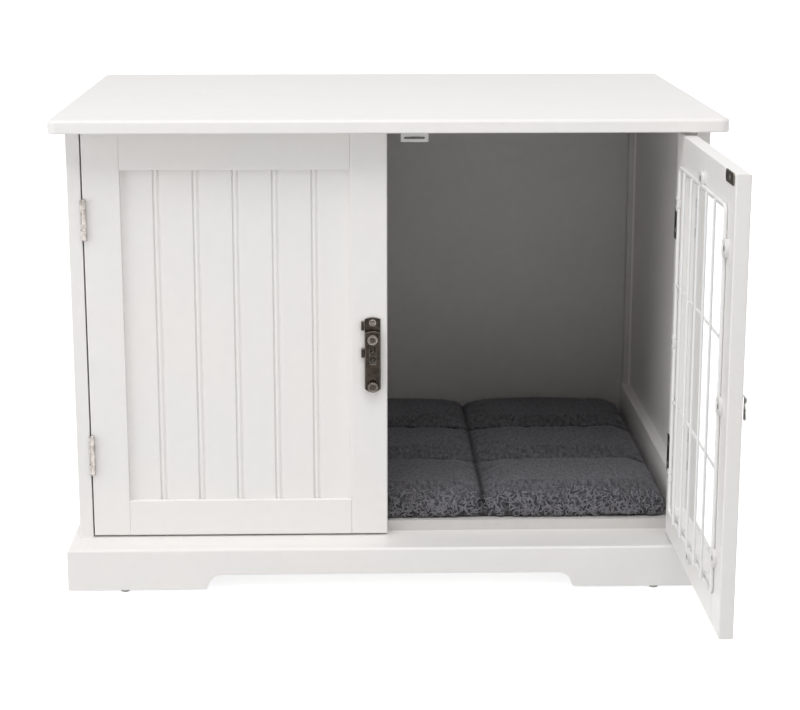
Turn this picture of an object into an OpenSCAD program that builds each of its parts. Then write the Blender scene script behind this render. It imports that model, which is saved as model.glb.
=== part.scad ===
// Indoor kennel: a white lacquered cabinet on a low plinth with a quilted cushion inside,
// a beadboard door on the left, a door with a wire grille on the right, and a sprung swing latch.
// The origin is on the floor at the middle of the footprint, the front faces -Y and +Z is up.
// The left door is closed. The right door stands open, as the latch hangs free.

/* [Overall] */
// Width of the top panel
top_w = 730; // [660:5:800]
// Depth of the top panel
top_d = 530; // [470:5:580]
// Height from the floor to the top panel's upper face
total_h = 530; // [490:5:580]
// Angle that the right door stands open
right_door_angle = 90; // [0:5:170]

/* [Top panel] */
// Thickness of the top panel
top_t = 15; // [13:1:20]
// Radius of the top panel's corners in plan
top_corner_r = 10; // [6:1:16]
// Radius of the top panel's upper edge
top_edge_r = 4; // [2:0.5:5]
// Radius of the top panel's lower edge
top_lower_r = 1.5; // [0.5:0.5:2.5]
// Overhang of the top past each side panel
top_side_overhang = 13; // [4:1:20]
// Overhang of the top past the front of the doors
top_front_overhang = 46; // [30:1:56]
// Overhang of the top past the back
top_back_overhang = 12; // [2:1:20]

/* [Cabinet] */
// Thickness of the side panels
side_t = 15; // [14:1:18]
// Thickness of the back panel
back_t = 9; // [6:1:12]
// Thickness of the base panel inside the plinth
base_t = 15; // [13:1:18]
// Thickness of the floor panel
floor_t = 12; // [9:1:15]
// Set back of the floor panel behind the closed doors
floor_back_off = 1.5; // [1:0.5:4]
// Radius along the front edges of the side panels
side_edge_r = 1; // [0.5:0.5:2]
// Thickness of the battens along the floor
batten_t = 12; // [8:1:16]
// Height of the battens along the floor
batten_h = 50; // [30:1:70]
// Set back of the floor battens behind the closed doors
batten_back_off = 4; // [3:0.5:10]
// Radius of the battens' upper inner edge
batten_r = 2; // [1:0.5:4]
// Width and depth of the upright battens in the rear corners
corner_batten = 10; // [6:1:14]

/* [Plinth] */
// Height of the plinth boards
plinth_h = 47; // [40:1:60]
// Thickness of the plinth boards
plinth_t = 12; // [10:1:16]
// Inset of the plinth from each end of the top
plinth_inset = 4; // [1:1:10]
// Radius of the plinth's upper outer edge
plinth_edge_r = 3; // [1:0.5:4]
// Width of the arch cut in the front plinth board
arch_w = 410; // [300:5:480]
// Height of the arch above the lower edge of the board
arch_h = 17; // [12:1:22]
// Radius of the arch's upper corners
arch_r = 16.5; // [6:0.5:17]
// Radius of the lower corners beside the arch
arch_foot_r = 3; // [1:0.5:5]
// Height of the glides
glide_h = 3; // [2:0.5:5]
// Radius of the glides
glide_r = 5.2; // [4:0.1:5.5]
// Distance of the glides from the ends of the plinth
glide_inset = 63; // [30:1:100]
// Radius of a glide's nail
glide_nail_r = 1.2; // [0.8:0.1:1.6]
// Length of a glide's nail
glide_nail_len = 12; // [8:1:16]

/* [Doors] */
// Thickness of the door frames
door_t = 15; // [14:1:18]
// Width of the door stiles and rails
rail_w = 41; // [36:1:50]
// Gap below the doors
door_bottom_gap = 2; // [1:0.5:4]
// Gap above the doors
door_top_gap = 4; // [3:0.5:8]
// Gap between a door and the side panel
door_side_gap = 1.5; // [1:0.25:2.5]
// Gap between the two doors
door_centre_gap = 4; // [3:0.5:6]
// Radius of the door frames' outer edges
door_edge_r = 1.5; // [0.5:0.5:2.5]
// Radius of the frame's edges around the panel
door_inner_r = 0.8; // [0.4:0.2:1.4]
// Thickness of the beadboard panel
bead_panel_t = 6; // [5:0.5:6.5]
// Recess of the beadboard panel from the door's front
bead_recess = 6; // [4:0.5:6]
// Depth of the groove that holds the panel
panel_groove = 8; // [6:0.5:10]
// Room around the panel in its groove
panel_slack = 0.5; // [0.2:0.1:1]
// Distance from bead to bead
bead_pitch = 43.4; // [38:0.2:46]
// Beads on the panel
bead_count = 5; // [3:2:5]
// Width of a bead between its two grooves
bead_w = 4.8; // [3:0.2:6]
// Width of each of the two grooves beside a bead
bead_groove_w = 1.2; // [0.8:0.1:2]
// Depth of the grooves beside a bead
bead_groove_d = 1.2; // [0.6:0.1:1.6]
// Length of the stub tenons on the rails
tenon_len = 8; // [6:0.5:10]
// Thickness of the stub tenons on the rails
tenon_t = 6; // [5:0.5:7]
// Distance of a tenon from the rail's outer edge
tenon_inset = 12; // [8:1:14]
// Room around a tenon
tenon_slack = 0.1; // [0.05:0.05:0.3]

/* [Hinges] */
// Distance of the hinges from the doors' ends
hinge_end = 95.5; // [70:0.5:120]
// Radius of the hinge barrel
barrel_r = 2.6; // [2.4:0.1:3]
// Distance of the hinge pin in from the door's edge
pin_inset = 1.5; // [1.3:0.1:1.8]
// Gap between the barrel and the door's face
barrel_gap = 0.3; // [0.2:0.1:0.6]
// Height of the hinge leaves
leaf_h = 43; // [38:1:50]
// Thickness of the hinge leaves
leaf_t = 1.2; // [1:0.1:1.4]
// Width of the leaf on the door's inner face
leaf_wrap = 15; // [13:0.5:20]
// Depth of the leaf on the side panel
leaf_depth = 29; // [24:1:34]
// Length of the middle knuckle
knuckle_mid = 23; // [18:1:27]
// Gap between the knuckles
knuckle_gap = 0.2; // [0.1:0.05:0.4]
// Radius of the hinge pins
pin_r = 1.3; // [1.1:0.1:1.5]
// Radial room around the hinge pins
pin_slack = 0.05; // [0.03:0.01:0.1]
// Height of the caps on the hinge pins
pin_cap_h = 1.9; // [1.4:0.1:2.4]
// Distance of the leaf screws from the leaf's middle
leaf_screw_z = 11.6; // [9:0.2:14]

/* [Catches] */
// Distance of the catches from the middle of the kennel
catch_x = 28.5; // [24:0.5:34]
// Width of a catch housing
catch_w = 31; // [28:1:36]
// Height of a catch housing
catch_h = 17; // [15:1:20]
// Depth of a catch housing
catch_d = 13; // [11:1:18]
// Width of the magnet in a catch
magnet_w = 12; // [8:1:13]
// Height of the magnet in a catch
magnet_h = 2.4; // [1.6:0.2:3.2]
// Depth of the magnet in a catch
magnet_d = 9; // [7:1:10]
// Gap between a catch and its strike plate
catch_gap = 0.3; // [0.2:0.1:0.8]
// Width of a strike plate
strike_w = 40; // [36:1:46]
// Height of a strike plate
strike_h = 12; // [10:1:14]
// Thickness of a strike plate
strike_t = 1.2; // [0.8:0.1:1.6]
// Cut corner of a strike plate
strike_cut = 3; // [1:0.5:5]

/* [Latch] */
// Height of the latch pivot above the doors' middle
latch_rise = -1.5; // [-20:0.5:20]
// Distance of the latch's middle from the left door's free edge
latch_x_off = 16.5; // [15:0.5:20]
// Width of the latch arm and its base plate
latch_w = 17.8; // [16:0.2:18.8]
// Thickness of the latch base plate
latch_base_t = 1.6; // [1.2:0.1:2]
// Length of the base plate above and below the pivot
latch_base_reach = 25; // [23:0.5:27]
// Distance of the base plate's screws from the pivot
latch_screw_z = 18.5; // [17:0.5:19]
// Thickness of the latch arm
arm_t = 4.8; // [4.6:0.1:5.4]
// Wall of the arm in front of the bolt
arm_wall = 1.2; // [1:0.1:1.4]
// Reach of the arm above the pivot
arm_top = 10.4; // [9.6:0.1:10.8]
// Reach of the arm below the pivot
arm_reach = 60; // [58:0.5:64]
// Radius of the arm's rounded lower end
arm_end_r = 12; // [10:0.5:14]
// Radius of the arm's upper end and of the base plate's ends
strap_end_r = 18; // [14:0.5:24]
// Radius of the heads of the base plate's screws
latch_head_r = 3.8; // [3:0.1:4]
// Bevel of the arm's front edge
arm_bevel = 0.7; // [0.4:0.1:1]
// Gap between the arm and the plate behind it
arm_gap = 0.3; // [0.2:0.1:0.6]
// Height of the stop lugs
lug_h = 10; // [7:0.5:10]
// Distance of the stop lugs' middles from the pivot
lug_z = 15.5; // [15:0.25:16]
// Width of the stop lugs
lug_w = 3.6; // [2.4:0.2:4.4]
// Radius of the pivot's head
pivot_head_r = 6; // [5:0.25:6.5]
// Radius of the pivot's shank
pivot_r = 2.6; // [2:0.1:3]
// Travel of the spring bolt
bolt_travel = 6; // [5:0.5:6]
// Distance of the bolt's knob from the pivot
knob_z = 53; // [52:0.5:54]
// Radius of the knob's head
knob_r = 6; // [5:0.25:6.5]
// Radius of the knob's neck
knob_neck_r = 3.2; // [2.6:0.1:3.4]
// Width of the bolt's plate
bolt_w = 11; // [9:0.5:12]
// Thickness of the bolt's plate
bolt_t = 2.2; // [1.8:0.1:2.4]
// Distance of the bolt's upper end from the pivot
bolt_top = 27.5; // [26:0.5:29]
// Width of the slot that shows the spring
spring_slot_w = 7.2; // [6:0.2:8]
// Distance of the spring's upper seat from the pivot
spring_seat = 7; // [6.5:0.5:8]
// Mean radius of the spring
spring_r = 1.85; // [1.7:0.05:1.9]
// Radius of the spring's wire
spring_wire_r = 0.42; // [0.35:0.01:0.45]
// Curls of the spring
spring_curls = 6; // [5:1:7]
// Radius of the rod inside the spring
rod_r = 1; // [0.8:0.1:1.1]
// Thickness of the plate that closes the back of the arm
cover_t = 0.8; // [0.6:0.1:0.9]

/* [Keeper] */
// Thickness of the keeper's sheet
keeper_t = 1.4; // [1.2:0.1:1.5]
// How far the keeper stands out from the door
keeper_proud = 10; // [9:0.1:11]
// Width of the keeper's plate
keeper_w = 20; // [19:0.5:22]
// Room above the latched arm under the keeper's hook
keeper_room = 0.9; // [0.5:0.1:1.5]
// Height of the keeper's plate
keeper_h = 28; // [25:0.5:30]
// Room between the drawn bolt's neck and the keeper's hook
keeper_neck_room = 0.4; // [0.3:0.1:0.8]

/* [Wire grille] */
// Radius of the wire around the grille
rim_wire_r = 2; // [1.8:0.1:2.2]
// Radius of the wires across the grille
wire_r = 1.5; // [1.2:0.1:1.8]
// Distance of the rim wire's middle outside the door's opening
rim_lap = 6.5; // [4:0.5:8]
// Radius of the rim wire's corners
rim_corner_r = 8; // [5:0.5:12]
// Upright wires inside the rim
upright_wires = 5; // [3:2:7]
// Distance between the two wires across
cross_wire_pitch = 131; // [100:1:150]
// Overlap of the welded wires
weld = 0.4; // [0.2:0.1:0.8]
// Width of the clips that hold the grille
clip_w = 18; // [17:0.5:20]
// Reach of the clips over the door's frame
clip_reach = 14.6; // [13:0.1:16]
// Wall of the clips over the wire
clip_wall = 1; // [0.8:0.1:1.4]
// Thickness of the clips' tabs
clip_tab_t = 4; // [3:0.1:4.4]
// Distance of the side clips from the door's middle
clip_row = 155; // [120:1:165]

/* [Screws] */
// Radius of the countersunk heads
screw_head_r = 3; // [2.6:0.1:3.2]
// Radius of the shanks
screw_r = 1.4; // [1.2:0.1:1.6]
// Depth of the countersunk heads
screw_head_h = 1.6; // [1.4:0.1:1.8]
// Length of the screws in the doors and side panels
screw_len = 11; // [8:0.5:12]
// Radial room around screws, dowels and nails
fastener_slack = 0.06; // [0.05:0.01:0.15]
// Radius of the screws up through the base
base_screw_r = 2.4; // [2:0.1:3]
// Length of the screws up through the base
base_screw_len = 45; // [40:1:60]
// Radius of the dowels under the top
dowel_r = 4; // [3:0.5:5]
// Depth of the dowels in the top
dowel_up = 9; // [6:0.5:10]
// Depth of the dowels in the side panels
dowel_down = 18; // [12:1:24]
// Distance of the outer screws and dowels from the side panels' ends
fastener_inset = 40; // [30:1:80]

/* [Cushion] */
// Gap between the cushion and the battens and back
cushion_gap = 0.4; // [0.3:0.1:2]
// Height of the cushion's crowns above the floor panel
crown_h = 35; // [28:1:42]
// Height of the sewn channels above the floor panel
channel_h = 24; // [18:1:26]
// Height of the cushion's edge above the floor panel
edge_h = 15; // [10:1:17]
// Cells across the cushion
cells_x = 3; // [2:1:4]
// Cells from the cushion's front to its back
cells_y = 3; // [2:1:3]
// Height of the rounding along the cushion's foot
foot_r = 3; // [2:0.5:5]
// How far the cushion's sides are drawn in at the channels
draw_in = 4; // [2:0.5:6]
// Radius of the cushion's rolled edge
roll_r = 24; // [18:1:30]

/* [Hidden] */

// Segments of round shapes, of the small children of a hull and of the rim wire's corners
$fn = 48;
hull_fn = 32;
wire_fn = 24;
// Extra length of a cutting shape past the face that it cuts
cut = 1;

// Small details that keep their size
// Screws: radius of the point, and the cross in the head
screw_point_r = 0.2;
drive_share = 0.55;
drive_w = 0.7;
drive_d = 0.9;
// Extra depth of the holes past screws, dowels, nails and the latch's pivot
hole_extra = 0.5;
// How far the heads of the screws in the base stand out past their shanks
base_head_lip = 2;
// Bevel under the glides
glide_bevel = 0.8;
// Catches: the pockets for the screws, the corners, and the magnet's room and height on the strike plate
ear_inset = 4.5;
ear_half = 3.4;
ear_rise = 9;
catch_r = 1.5;
catch_front_r = 1;
magnet_room = 0.2;
magnet_rise = 3.7;
// Hinges: room around the leaves, places of the screws, and how leaf and barrel meet
leaf_slack = 0.1;
leaf_screw_in = 9;
leaf_screw_share = 0.56;
leaf_bend_share = 0.8;
leaf_end_r = 0.4;
knuckle_bite = 0.6;
barrel_web_share = 0.6;
pin_cap_gap = 0.1;
pin_cap_taper = 0.6;
// Heads of the pivot and the knob, with a raised rim
head_bevel = 0.6;
head_rim_w = 0.8;
head_dip = 0.5;
pivot_head_h = 1.5;
knob_head_h = 1.8;
// Latch: pivot, stop lugs, room around the bolt, cover plate and spring
pivot_depth = 8.5;
pivot_head_gap = 0.1;
lug_gap = 0.3;
lug_root = 1;
arm_toe = 3.5;
bolt_room = 0.4;
bolt_side_room = 0.3;
bolt_play = 0.2;
neck_room = 0.4;
neck_proud = 0.4;
rod_room = 1;
cover_lap = 0.9;
cover_end_lap = 0.2;
cover_slack = 0.1;
spring_slot_r = 1;
spring_end_gap = 0.1;
rings_per_curl = 8;
spring_sides = 6;
spring_close = 0.5;
// Keeper: bends, corners and screws
keeper_bend_r = 4.5;
keeper_root_r = 1.2;
hook_raise = 1.5;
hook_near_r = 6.5;
hook_far_r = 2.5;
notch_room = 0.3;
keeper_corner_r = 4;
keeper_screw_in = 4.6;
keeper_screw_low = 5;
keeper_screw_high = 5.2;
// Clips: corners and the screw's distance from the rim wire
clip_corner_r = 8;
clip_tab_r = 1.2;
clip_screw_u = 7.2;
// Cushion: steps along a cell's two sides, and the fullness of a cell
cushion_steps = [9, 7];
cell_fullness = 0.55;

// Colours
white = [0.93, 0.92, 0.91];
bronze = [0.27, 0.24, 0.21];
nickel = [0.62, 0.6, 0.57];
fleece = [0.32, 0.32, 0.34];
plastic = [0.82, 0.82, 0.81];

// Cabinet
top_z = total_h - top_t;
side_out = top_w / 2 - top_side_overhang;
side_in = side_out - side_t;
front_y = -top_d / 2 + top_front_overhang;
back_y = top_d / 2 - top_back_overhang;
back_in_y = back_y - back_t;
plinth_top = glide_h + plinth_h;
plinth_x = top_w / 2 - plinth_inset;
plinth_front_y = -top_d / 2;
floor_top = plinth_top + floor_t;
glide_x = plinth_x - glide_inset;
glide_ys = [plinth_front_y + plinth_t / 2, back_y - plinth_t / 2];
batten_in = side_in - batten_t;
fastener_x = (side_in + side_out) / 2;
base_head_r = base_screw_r + base_head_lip;
side_mid_y = (front_y + back_y) / 2;
fastener_ys = [front_y + fastener_inset, side_mid_y, back_y - fastener_inset];

// Doors, as they stand when closed; the right one is on +X
door_out = side_in - door_side_gap;
door_in = door_centre_gap / 2;
door_mid = (door_out + door_in) / 2;
door_z0 = plinth_top + door_bottom_gap;
door_z1 = top_z - door_top_gap;
door_mid_z = (door_z0 + door_z1) / 2;
inner_y = front_y + door_t;
open_x0 = door_in + rail_w;
open_x1 = door_out - rail_w;
open_z0 = door_z0 + rail_w;
open_z1 = door_z1 - rail_w;
groove_y0 = front_y + bead_recess;
tenon_y0 = inner_y - (door_t + tenon_t) / 2;

// Hinges
pin_x = door_out - pin_inset;
pin_y = front_y - barrel_gap - barrel_r;
hinge_zs = [door_z0 + hinge_end, door_z1 - hinge_end];
leaf_screw_zs = [-leaf_screw_z, leaf_screw_z];

// Catches
strike_y = inner_y + strike_t;
catch_y = strike_y + catch_gap;
strike_z = door_z1 - strike_h / 2;
magnet_z = strike_z - strike_h / 2 + magnet_rise;

// Latch, as it hangs on the closed left door
latch_x = -door_in - latch_x_off;
latch_z = door_mid_z + latch_rise;
base_front_y = front_y - latch_base_t;
arm_back_y = base_front_y - arm_gap;
arm_front_y = arm_back_y - arm_t;
arm_mid_y = (arm_back_y + arm_front_y) / 2;
cavity_front_y = arm_front_y + arm_wall;
bolt_front_y = cavity_front_y + bolt_play;
bolt_back_y = bolt_front_y + bolt_t;
bolt_bottom = arm_reach - arm_toe;
cavity_w = bolt_w + 2 * bolt_side_room;
neck_slot_r = knob_neck_r + neck_room;
spring_len = bolt_top - spring_seat - 2 * spring_end_gap;
cover_z0 = -bolt_bottom - bolt_room - cover_end_lap;
cover_z1 = -bolt_top - 2 * cover_slack;

// Keeper, as it meets the latched arm when both doors are closed
latched_knob_x = latch_x + knob_z;
keeper_front_y = front_y - keeper_proud;
keeper_x1 = latch_x + arm_reach;
keeper_x0 = keeper_x1 - keeper_w;
hook_x0 = latched_knob_x - bolt_travel + knob_neck_r + keeper_neck_room;
keeper_z1 = latch_z + latch_w / 2 + keeper_room + keeper_t;
keeper_z0 = keeper_z1 - keeper_h;
keeper_screw_x = keeper_x0 + keeper_screw_in;
keeper_screw_zs = [keeper_z0 + keeper_screw_low, keeper_z1 - keeper_screw_high];

// Grille, on the inner face of the closed right door
rim_x0 = open_x0 - rim_lap;
rim_x1 = open_x1 + rim_lap;
rim_z0 = open_z0 - rim_lap;
rim_z1 = open_z1 + rim_lap;
rim_y = inner_y + rim_wire_r;
upright_y = rim_y + 2 * wire_r - weld;
clip_spots = concat(
  [[door_mid, rim_z1, 0], [door_mid, rim_z0, 180]],
  [for (dz = [-clip_row, 0, clip_row]) [rim_x1, door_mid_z + dz, 90]],
  [for (dz = [-clip_row, 0, clip_row]) [rim_x0, door_mid_z + dz, -90]]
);

// Cushion
cushion_x = batten_in - cushion_gap;
cushion_y0 = inner_y + 2 * rim_wire_r + clip_wall + cushion_gap;
cushion_y1 = back_in_y - cushion_gap;

// Square with its own radius at each corner, in the order (x0, y0), (x1, y0), (x1, y1), (x0, y1)
module soft_square(x0, y0, x1, y1, r) {
  difference() {
    translate([x0, y0]) square([x1 - x0, y1 - y0]);
    corner_cut(x0, y0, 1, 1, r[0]);
    corner_cut(x1, y0, -1, 1, r[1]);
    corner_cut(x1, y1, -1, -1, r[2]);
    corner_cut(x0, y1, 1, -1, r[3]);
  }
}

// What a rounded corner takes off a square one
module corner_cut(x, y, sx, sy, r) {
  if (r > 0) {
    translate([x, y]) mirror([sx < 0 ? 1 : 0, 0]) mirror([0, sy < 0 ? 1 : 0]) difference() {
      translate([-cut, -cut]) square([r + cut, r + cut]);
      translate([r, r]) circle(r);
    }
  }
}

// Extrusion along X of an outline drawn in (Y, Z)
module along_x(x0, x1) {
  translate([x0, 0, 0]) rotate([90, 0, 90]) linear_extrude(x1 - x0) children();
}

// Extrusion along Y of an outline drawn in (X, Z)
module along_y(y0, y1) {
  translate([0, y1, 0]) rotate([90, 0, 0]) linear_extrude(y1 - y0) children();
}

// Extrusion along Z of an outline drawn in (X, Y)
module along_z(z0, z1) {
  translate([0, 0, z0]) linear_extrude(z1 - z0) children();
}

// Box between two corners
module block(low, high) {
  translate(low) cube(high - low);
}

module mirrored() {
  mirror([1, 0, 0]) children();
}

// Moves a piece of the right door from its closed place to where the door stands
module on_right_door() {
  translate([pin_x, pin_y, 0]) rotate([0, 0, right_door_angle]) translate([-pin_x, -pin_y, 0]) children();
}

// Countersunk screw along Z with its head flush at the origin
module screw(length, r = screw_r, head_r = screw_head_r) {
  reach = head_r * drive_share;
  difference() {
    union() {
      translate([0, 0, -screw_head_h]) cylinder(h = screw_head_h, r1 = r, r2 = head_r);
      translate([0, 0, -length + r]) cylinder(h = length - r - screw_head_h, r = r);
      translate([0, 0, -length]) cylinder(h = r, r1 = screw_point_r, r2 = r);
    }
    for (turn = [0, 90]) {
      rotate(turn) translate([-reach, -drive_w / 2, -drive_d]) cube([2 * reach, drive_w, cut + drive_d]);
    }
  }
}

// Hole for that screw
module screw_hole(length, r = screw_r, head_r = screw_head_r) {
  room = fastener_slack;
  depth = length + hole_extra;
  translate([0, 0, -screw_head_h]) cylinder(h = screw_head_h, r1 = r + room, r2 = head_r + room);
  cylinder(h = cut, r = head_r + room);
  translate([0, 0, -depth]) cylinder(h = depth - screw_head_h, r = r + room);
}

// Cabinet

// The top's rounded edge, drawn outwards from the middle of its corner radius
module top_edge_outline() {
  soft_square(0, top_z, top_corner_r, total_h, [0, top_lower_r, top_edge_r, 0]);
}

module top_panel() {
  r = top_corner_r;
  x = top_w / 2 - r;
  y = top_d / 2 - r;
  color(white) difference() {
    union() {
      block([-x, -y, top_z], [x, y, total_h]);
      for (turn = [0 : 90 : 270]) {
        out = turn % 180 == 0 ? x : y;
        half = turn % 180 == 0 ? y : x;
        rotate(turn) translate([out, 0, 0]) {
          along_y(-half, half) top_edge_outline();
          translate([0, half, 0]) rotate_extrude(angle = 90) top_edge_outline();
        }
      }
    }
    top_dowel_holes();
    catch_screw_places() screw_hole(screw_len);
  }
}

module top_dowel_holes() {
  for (sx = [-1, 1], y = fastener_ys) {
    translate([sx * fastener_x, y, top_z - dowel_down - hole_extra])
      cylinder(h = dowel_up + dowel_down + 2 * hole_extra, r = dowel_r + fastener_slack);
  }
}

module base_screw_places() {
  for (sx = [-1, 1], y = fastener_ys) {
    translate([sx * fastener_x, y, plinth_top - base_t]) rotate([180, 0, 0]) children();
  }
}

module side_panel() {
  difference() {
    along_z(plinth_top, top_z) soft_square(side_in, front_y, side_out, back_y, [0, side_edge_r, 0, 0]);
    for (z = hinge_zs) {
      block([side_in - cut, front_y - cut, z - leaf_h / 2 - leaf_slack],
        [side_in + leaf_t, front_y + leaf_depth + leaf_slack, z + leaf_h / 2 + leaf_slack]);
    }
    cabinet_screw_places() screw_hole(screw_len);
    top_dowel_holes();
    base_screw_places() screw_hole(base_screw_len, base_screw_r, base_head_r);
  }
}

module right_side_panel() {
  color(white) side_panel();
}

module left_side_panel() {
  color(white) mirrored() side_panel();
}

module back_panel() {
  color(white) block([-side_in, back_in_y, plinth_top], [side_in, back_y, top_z]);
}

module base_panel() {
  x = plinth_x - plinth_t;
  color(white) difference() {
    block([-x, plinth_front_y + plinth_t, plinth_top - base_t], [x, back_y - plinth_t, plinth_top]);
    base_screw_places() screw_hole(base_screw_len, base_screw_r, base_head_r);
  }
}

module floor_panel() {
  color(white) block([-side_in, inner_y + floor_back_off, plinth_top], [side_in, back_in_y, floor_top]);
}

// Plinth

module glide_places() {
  for (sx = [-1, 1], y = glide_ys) {
    translate([sx * glide_x, y, 0]) children();
  }
}

module glide_nail_holes() {
  glide_places() translate([0, 0, glide_h - cut])
    cylinder(h = glide_nail_len + cut + hole_extra, r = glide_nail_r + fastener_slack);
}

module plinth_front() {
  x = plinth_x;
  color(white) difference() {
    intersection() {
      along_y(plinth_front_y - cut, plinth_front_y + plinth_t + cut) difference() {
        soft_square(-x, glide_h, x, plinth_top, [0, 0, plinth_edge_r, plinth_edge_r]);
        soft_square(-arch_w / 2, -cut, arch_w / 2, glide_h + arch_h, [0, 0, arch_r, arch_r]);
        corner_cut(-arch_w / 2, glide_h, -1, 1, arch_foot_r);
        corner_cut(arch_w / 2, glide_h, 1, 1, arch_foot_r);
      }
      along_x(-x - cut, x + cut) soft_square(
        plinth_front_y, glide_h, plinth_front_y + plinth_t, plinth_top, [0, 0, 0, plinth_edge_r]);
    }
    glide_nail_holes();
  }
}

module plinth_side() {
  along_y(plinth_front_y + plinth_t, back_y - plinth_t)
    soft_square(plinth_x - plinth_t, glide_h, plinth_x, plinth_top, [0, 0, plinth_edge_r, 0]);
}

module plinth_right() {
  color(white) plinth_side();
}

module plinth_left() {
  color(white) mirrored() plinth_side();
}

module plinth_back() {
  color(white) difference() {
    block([-plinth_x, back_y - plinth_t, glide_h], [plinth_x, back_y, plinth_top]);
    glide_nail_holes();
  }
}

module glides() {
  color(plastic) glide_places() {
    rotate_extrude() polygon([
      [0, 0], [glide_r - glide_bevel, 0], [glide_r, glide_bevel], [glide_r, glide_h], [0, glide_h]
    ]);
    translate([0, 0, glide_h]) cylinder(h = glide_nail_len, r = glide_nail_r);
  }
}

// Battens, screws and dowels

module floor_batten() {
  along_y(inner_y + batten_back_off, back_in_y)
    soft_square(batten_in, floor_top, side_in, floor_top + batten_h, [0, 0, 0, batten_r]);
}

module right_floor_batten() {
  color(white) floor_batten();
}

module left_floor_batten() {
  color(white) mirrored() floor_batten();
}

module corner_battens() {
  color(white) for (side = [0, 1]) {
    mirror([side, 0, 0]) along_z(floor_top + batten_h, top_z) soft_square(
      side_in - corner_batten, back_in_y - corner_batten, side_in, back_in_y, [batten_r, 0, 0, 0]);
  }
}

module base_screws() {
  color(nickel) base_screw_places() screw(base_screw_len, base_screw_r, base_head_r);
}

module top_dowels() {
  color("burlywood") for (sx = [-1, 1], y = fastener_ys) {
    translate([sx * fastener_x, y, top_z - dowel_down]) cylinder(h = dowel_up + dowel_down, r = dowel_r);
  }
}

// Magnetic catches

module catch_places() {
  for (side = [0, 1]) {
    mirror([side, 0, 0]) translate([catch_x, catch_y, 0]) children();
  }
}

module catch_screw_places() {
  catch_places() for (sx = [-1, 1]) {
    translate([sx * (catch_w / 2 - ear_inset), catch_d - ear_inset, top_z - catch_h + ear_rise])
      rotate([180, 0, 0]) children();
  }
}

module catch_housings() {
  x = catch_w / 2;
  ear_x = x - ear_inset;
  r = catch_front_r;
  color(plastic) difference() {
    catch_places() difference() {
      intersection() {
        along_y(0, catch_d) soft_square(-x, top_z - catch_h, x, top_z, [catch_r, catch_r, 0, 0]);
        along_z(top_z - catch_h, top_z) soft_square(-x, 0, x, catch_d, [r, r, r, r]);
      }
      block([-magnet_w / 2 - magnet_room, -cut, magnet_z - magnet_h / 2 - magnet_room],
        [magnet_w / 2 + magnet_room, magnet_d + magnet_room, magnet_z + magnet_h / 2 + magnet_room]);
      for (sx = [-1, 1]) {
        block([sx * ear_x - ear_half, catch_d - ear_inset - ear_half, top_z - catch_h - cut],
          [sx * ear_x + ear_half, catch_d + cut, top_z - catch_h + ear_rise]);
      }
    }
    catch_screw_places() screw_hole(screw_len);
  }
}

module catch_magnets() {
  color("dimgray") catch_places() block([-magnet_w / 2, magnet_room, magnet_z - magnet_h / 2 - magnet_room],
    [magnet_w / 2, magnet_d, magnet_z + magnet_h / 2]);
}

module catch_screws() {
  color(nickel) catch_screw_places() screw(screw_len);
}

// Hinges

module cabinet_screw_places() {
  for (z = hinge_zs, dz = leaf_screw_zs) {
    translate([side_in, front_y + leaf_depth - leaf_screw_in, z + dz]) rotate([0, -90, 0]) children();
  }
}

module cabinet_leaf() {
  end_h = (leaf_h - knuckle_mid) / 2 - knuckle_gap;
  difference() {
    union() {
      block([side_in, front_y, -leaf_h / 2], [side_in + leaf_t, front_y + leaf_depth, leaf_h / 2]);
      for (z = [-leaf_h / 2, leaf_h / 2 - end_h]) {
        translate([pin_x, pin_y, z]) cylinder(h = end_h, r = barrel_r);
        block([side_in, pin_y - leaf_t / 2, z], [side_in + leaf_t, front_y, z + end_h]);
        block([pin_x + barrel_r - knuckle_bite, pin_y - leaf_t / 2, z],
          [side_in + leaf_t / 2, pin_y + leaf_t / 2, z + end_h]);
      }
    }
    translate([pin_x, pin_y, -leaf_h / 2 - cut]) cylinder(h = leaf_h + 2 * cut, r = pin_r + pin_slack);
  }
}

module cabinet_leaves() {
  difference() {
    for (z = hinge_zs) {
      translate([0, 0, z]) cabinet_leaf();
    }
    cabinet_screw_places() screw_hole(screw_len);
  }
}

module right_cabinet_leaves() {
  color(nickel) cabinet_leaves();
}

module left_cabinet_leaves() {
  color(nickel) mirrored() cabinet_leaves();
}

module cabinet_leaf_screws() {
  color(nickel) for (side = [0, 1]) {
    mirror([side, 0, 0]) cabinet_screw_places() screw(screw_len);
  }
}

module hinge_pins() {
  color(nickel) for (side = [0, 1], z = hinge_zs) {
    mirror([side, 0, 0]) translate([pin_x, pin_y, z]) {
      cylinder(h = leaf_h + 4 * pin_cap_gap, r = pin_r, center = true);
      for (end = [0, 1]) {
        mirror([0, 0, end]) translate([0, 0, leaf_h / 2 + pin_cap_gap]) {
          cylinder(h = pin_cap_h / 2, r = barrel_r);
          translate([0, 0, pin_cap_h / 2])
            cylinder(h = pin_cap_h / 2, r1 = barrel_r, r2 = barrel_r * pin_cap_taper);
        }
      }
    }
  }
}

module door_screw_places() {
  for (z = hinge_zs, dz = leaf_screw_zs) {
    translate([door_out - leaf_wrap * leaf_screw_share, inner_y + leaf_t, z + dz])
      rotate([-90, 0, 0]) children();
  }
}

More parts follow.
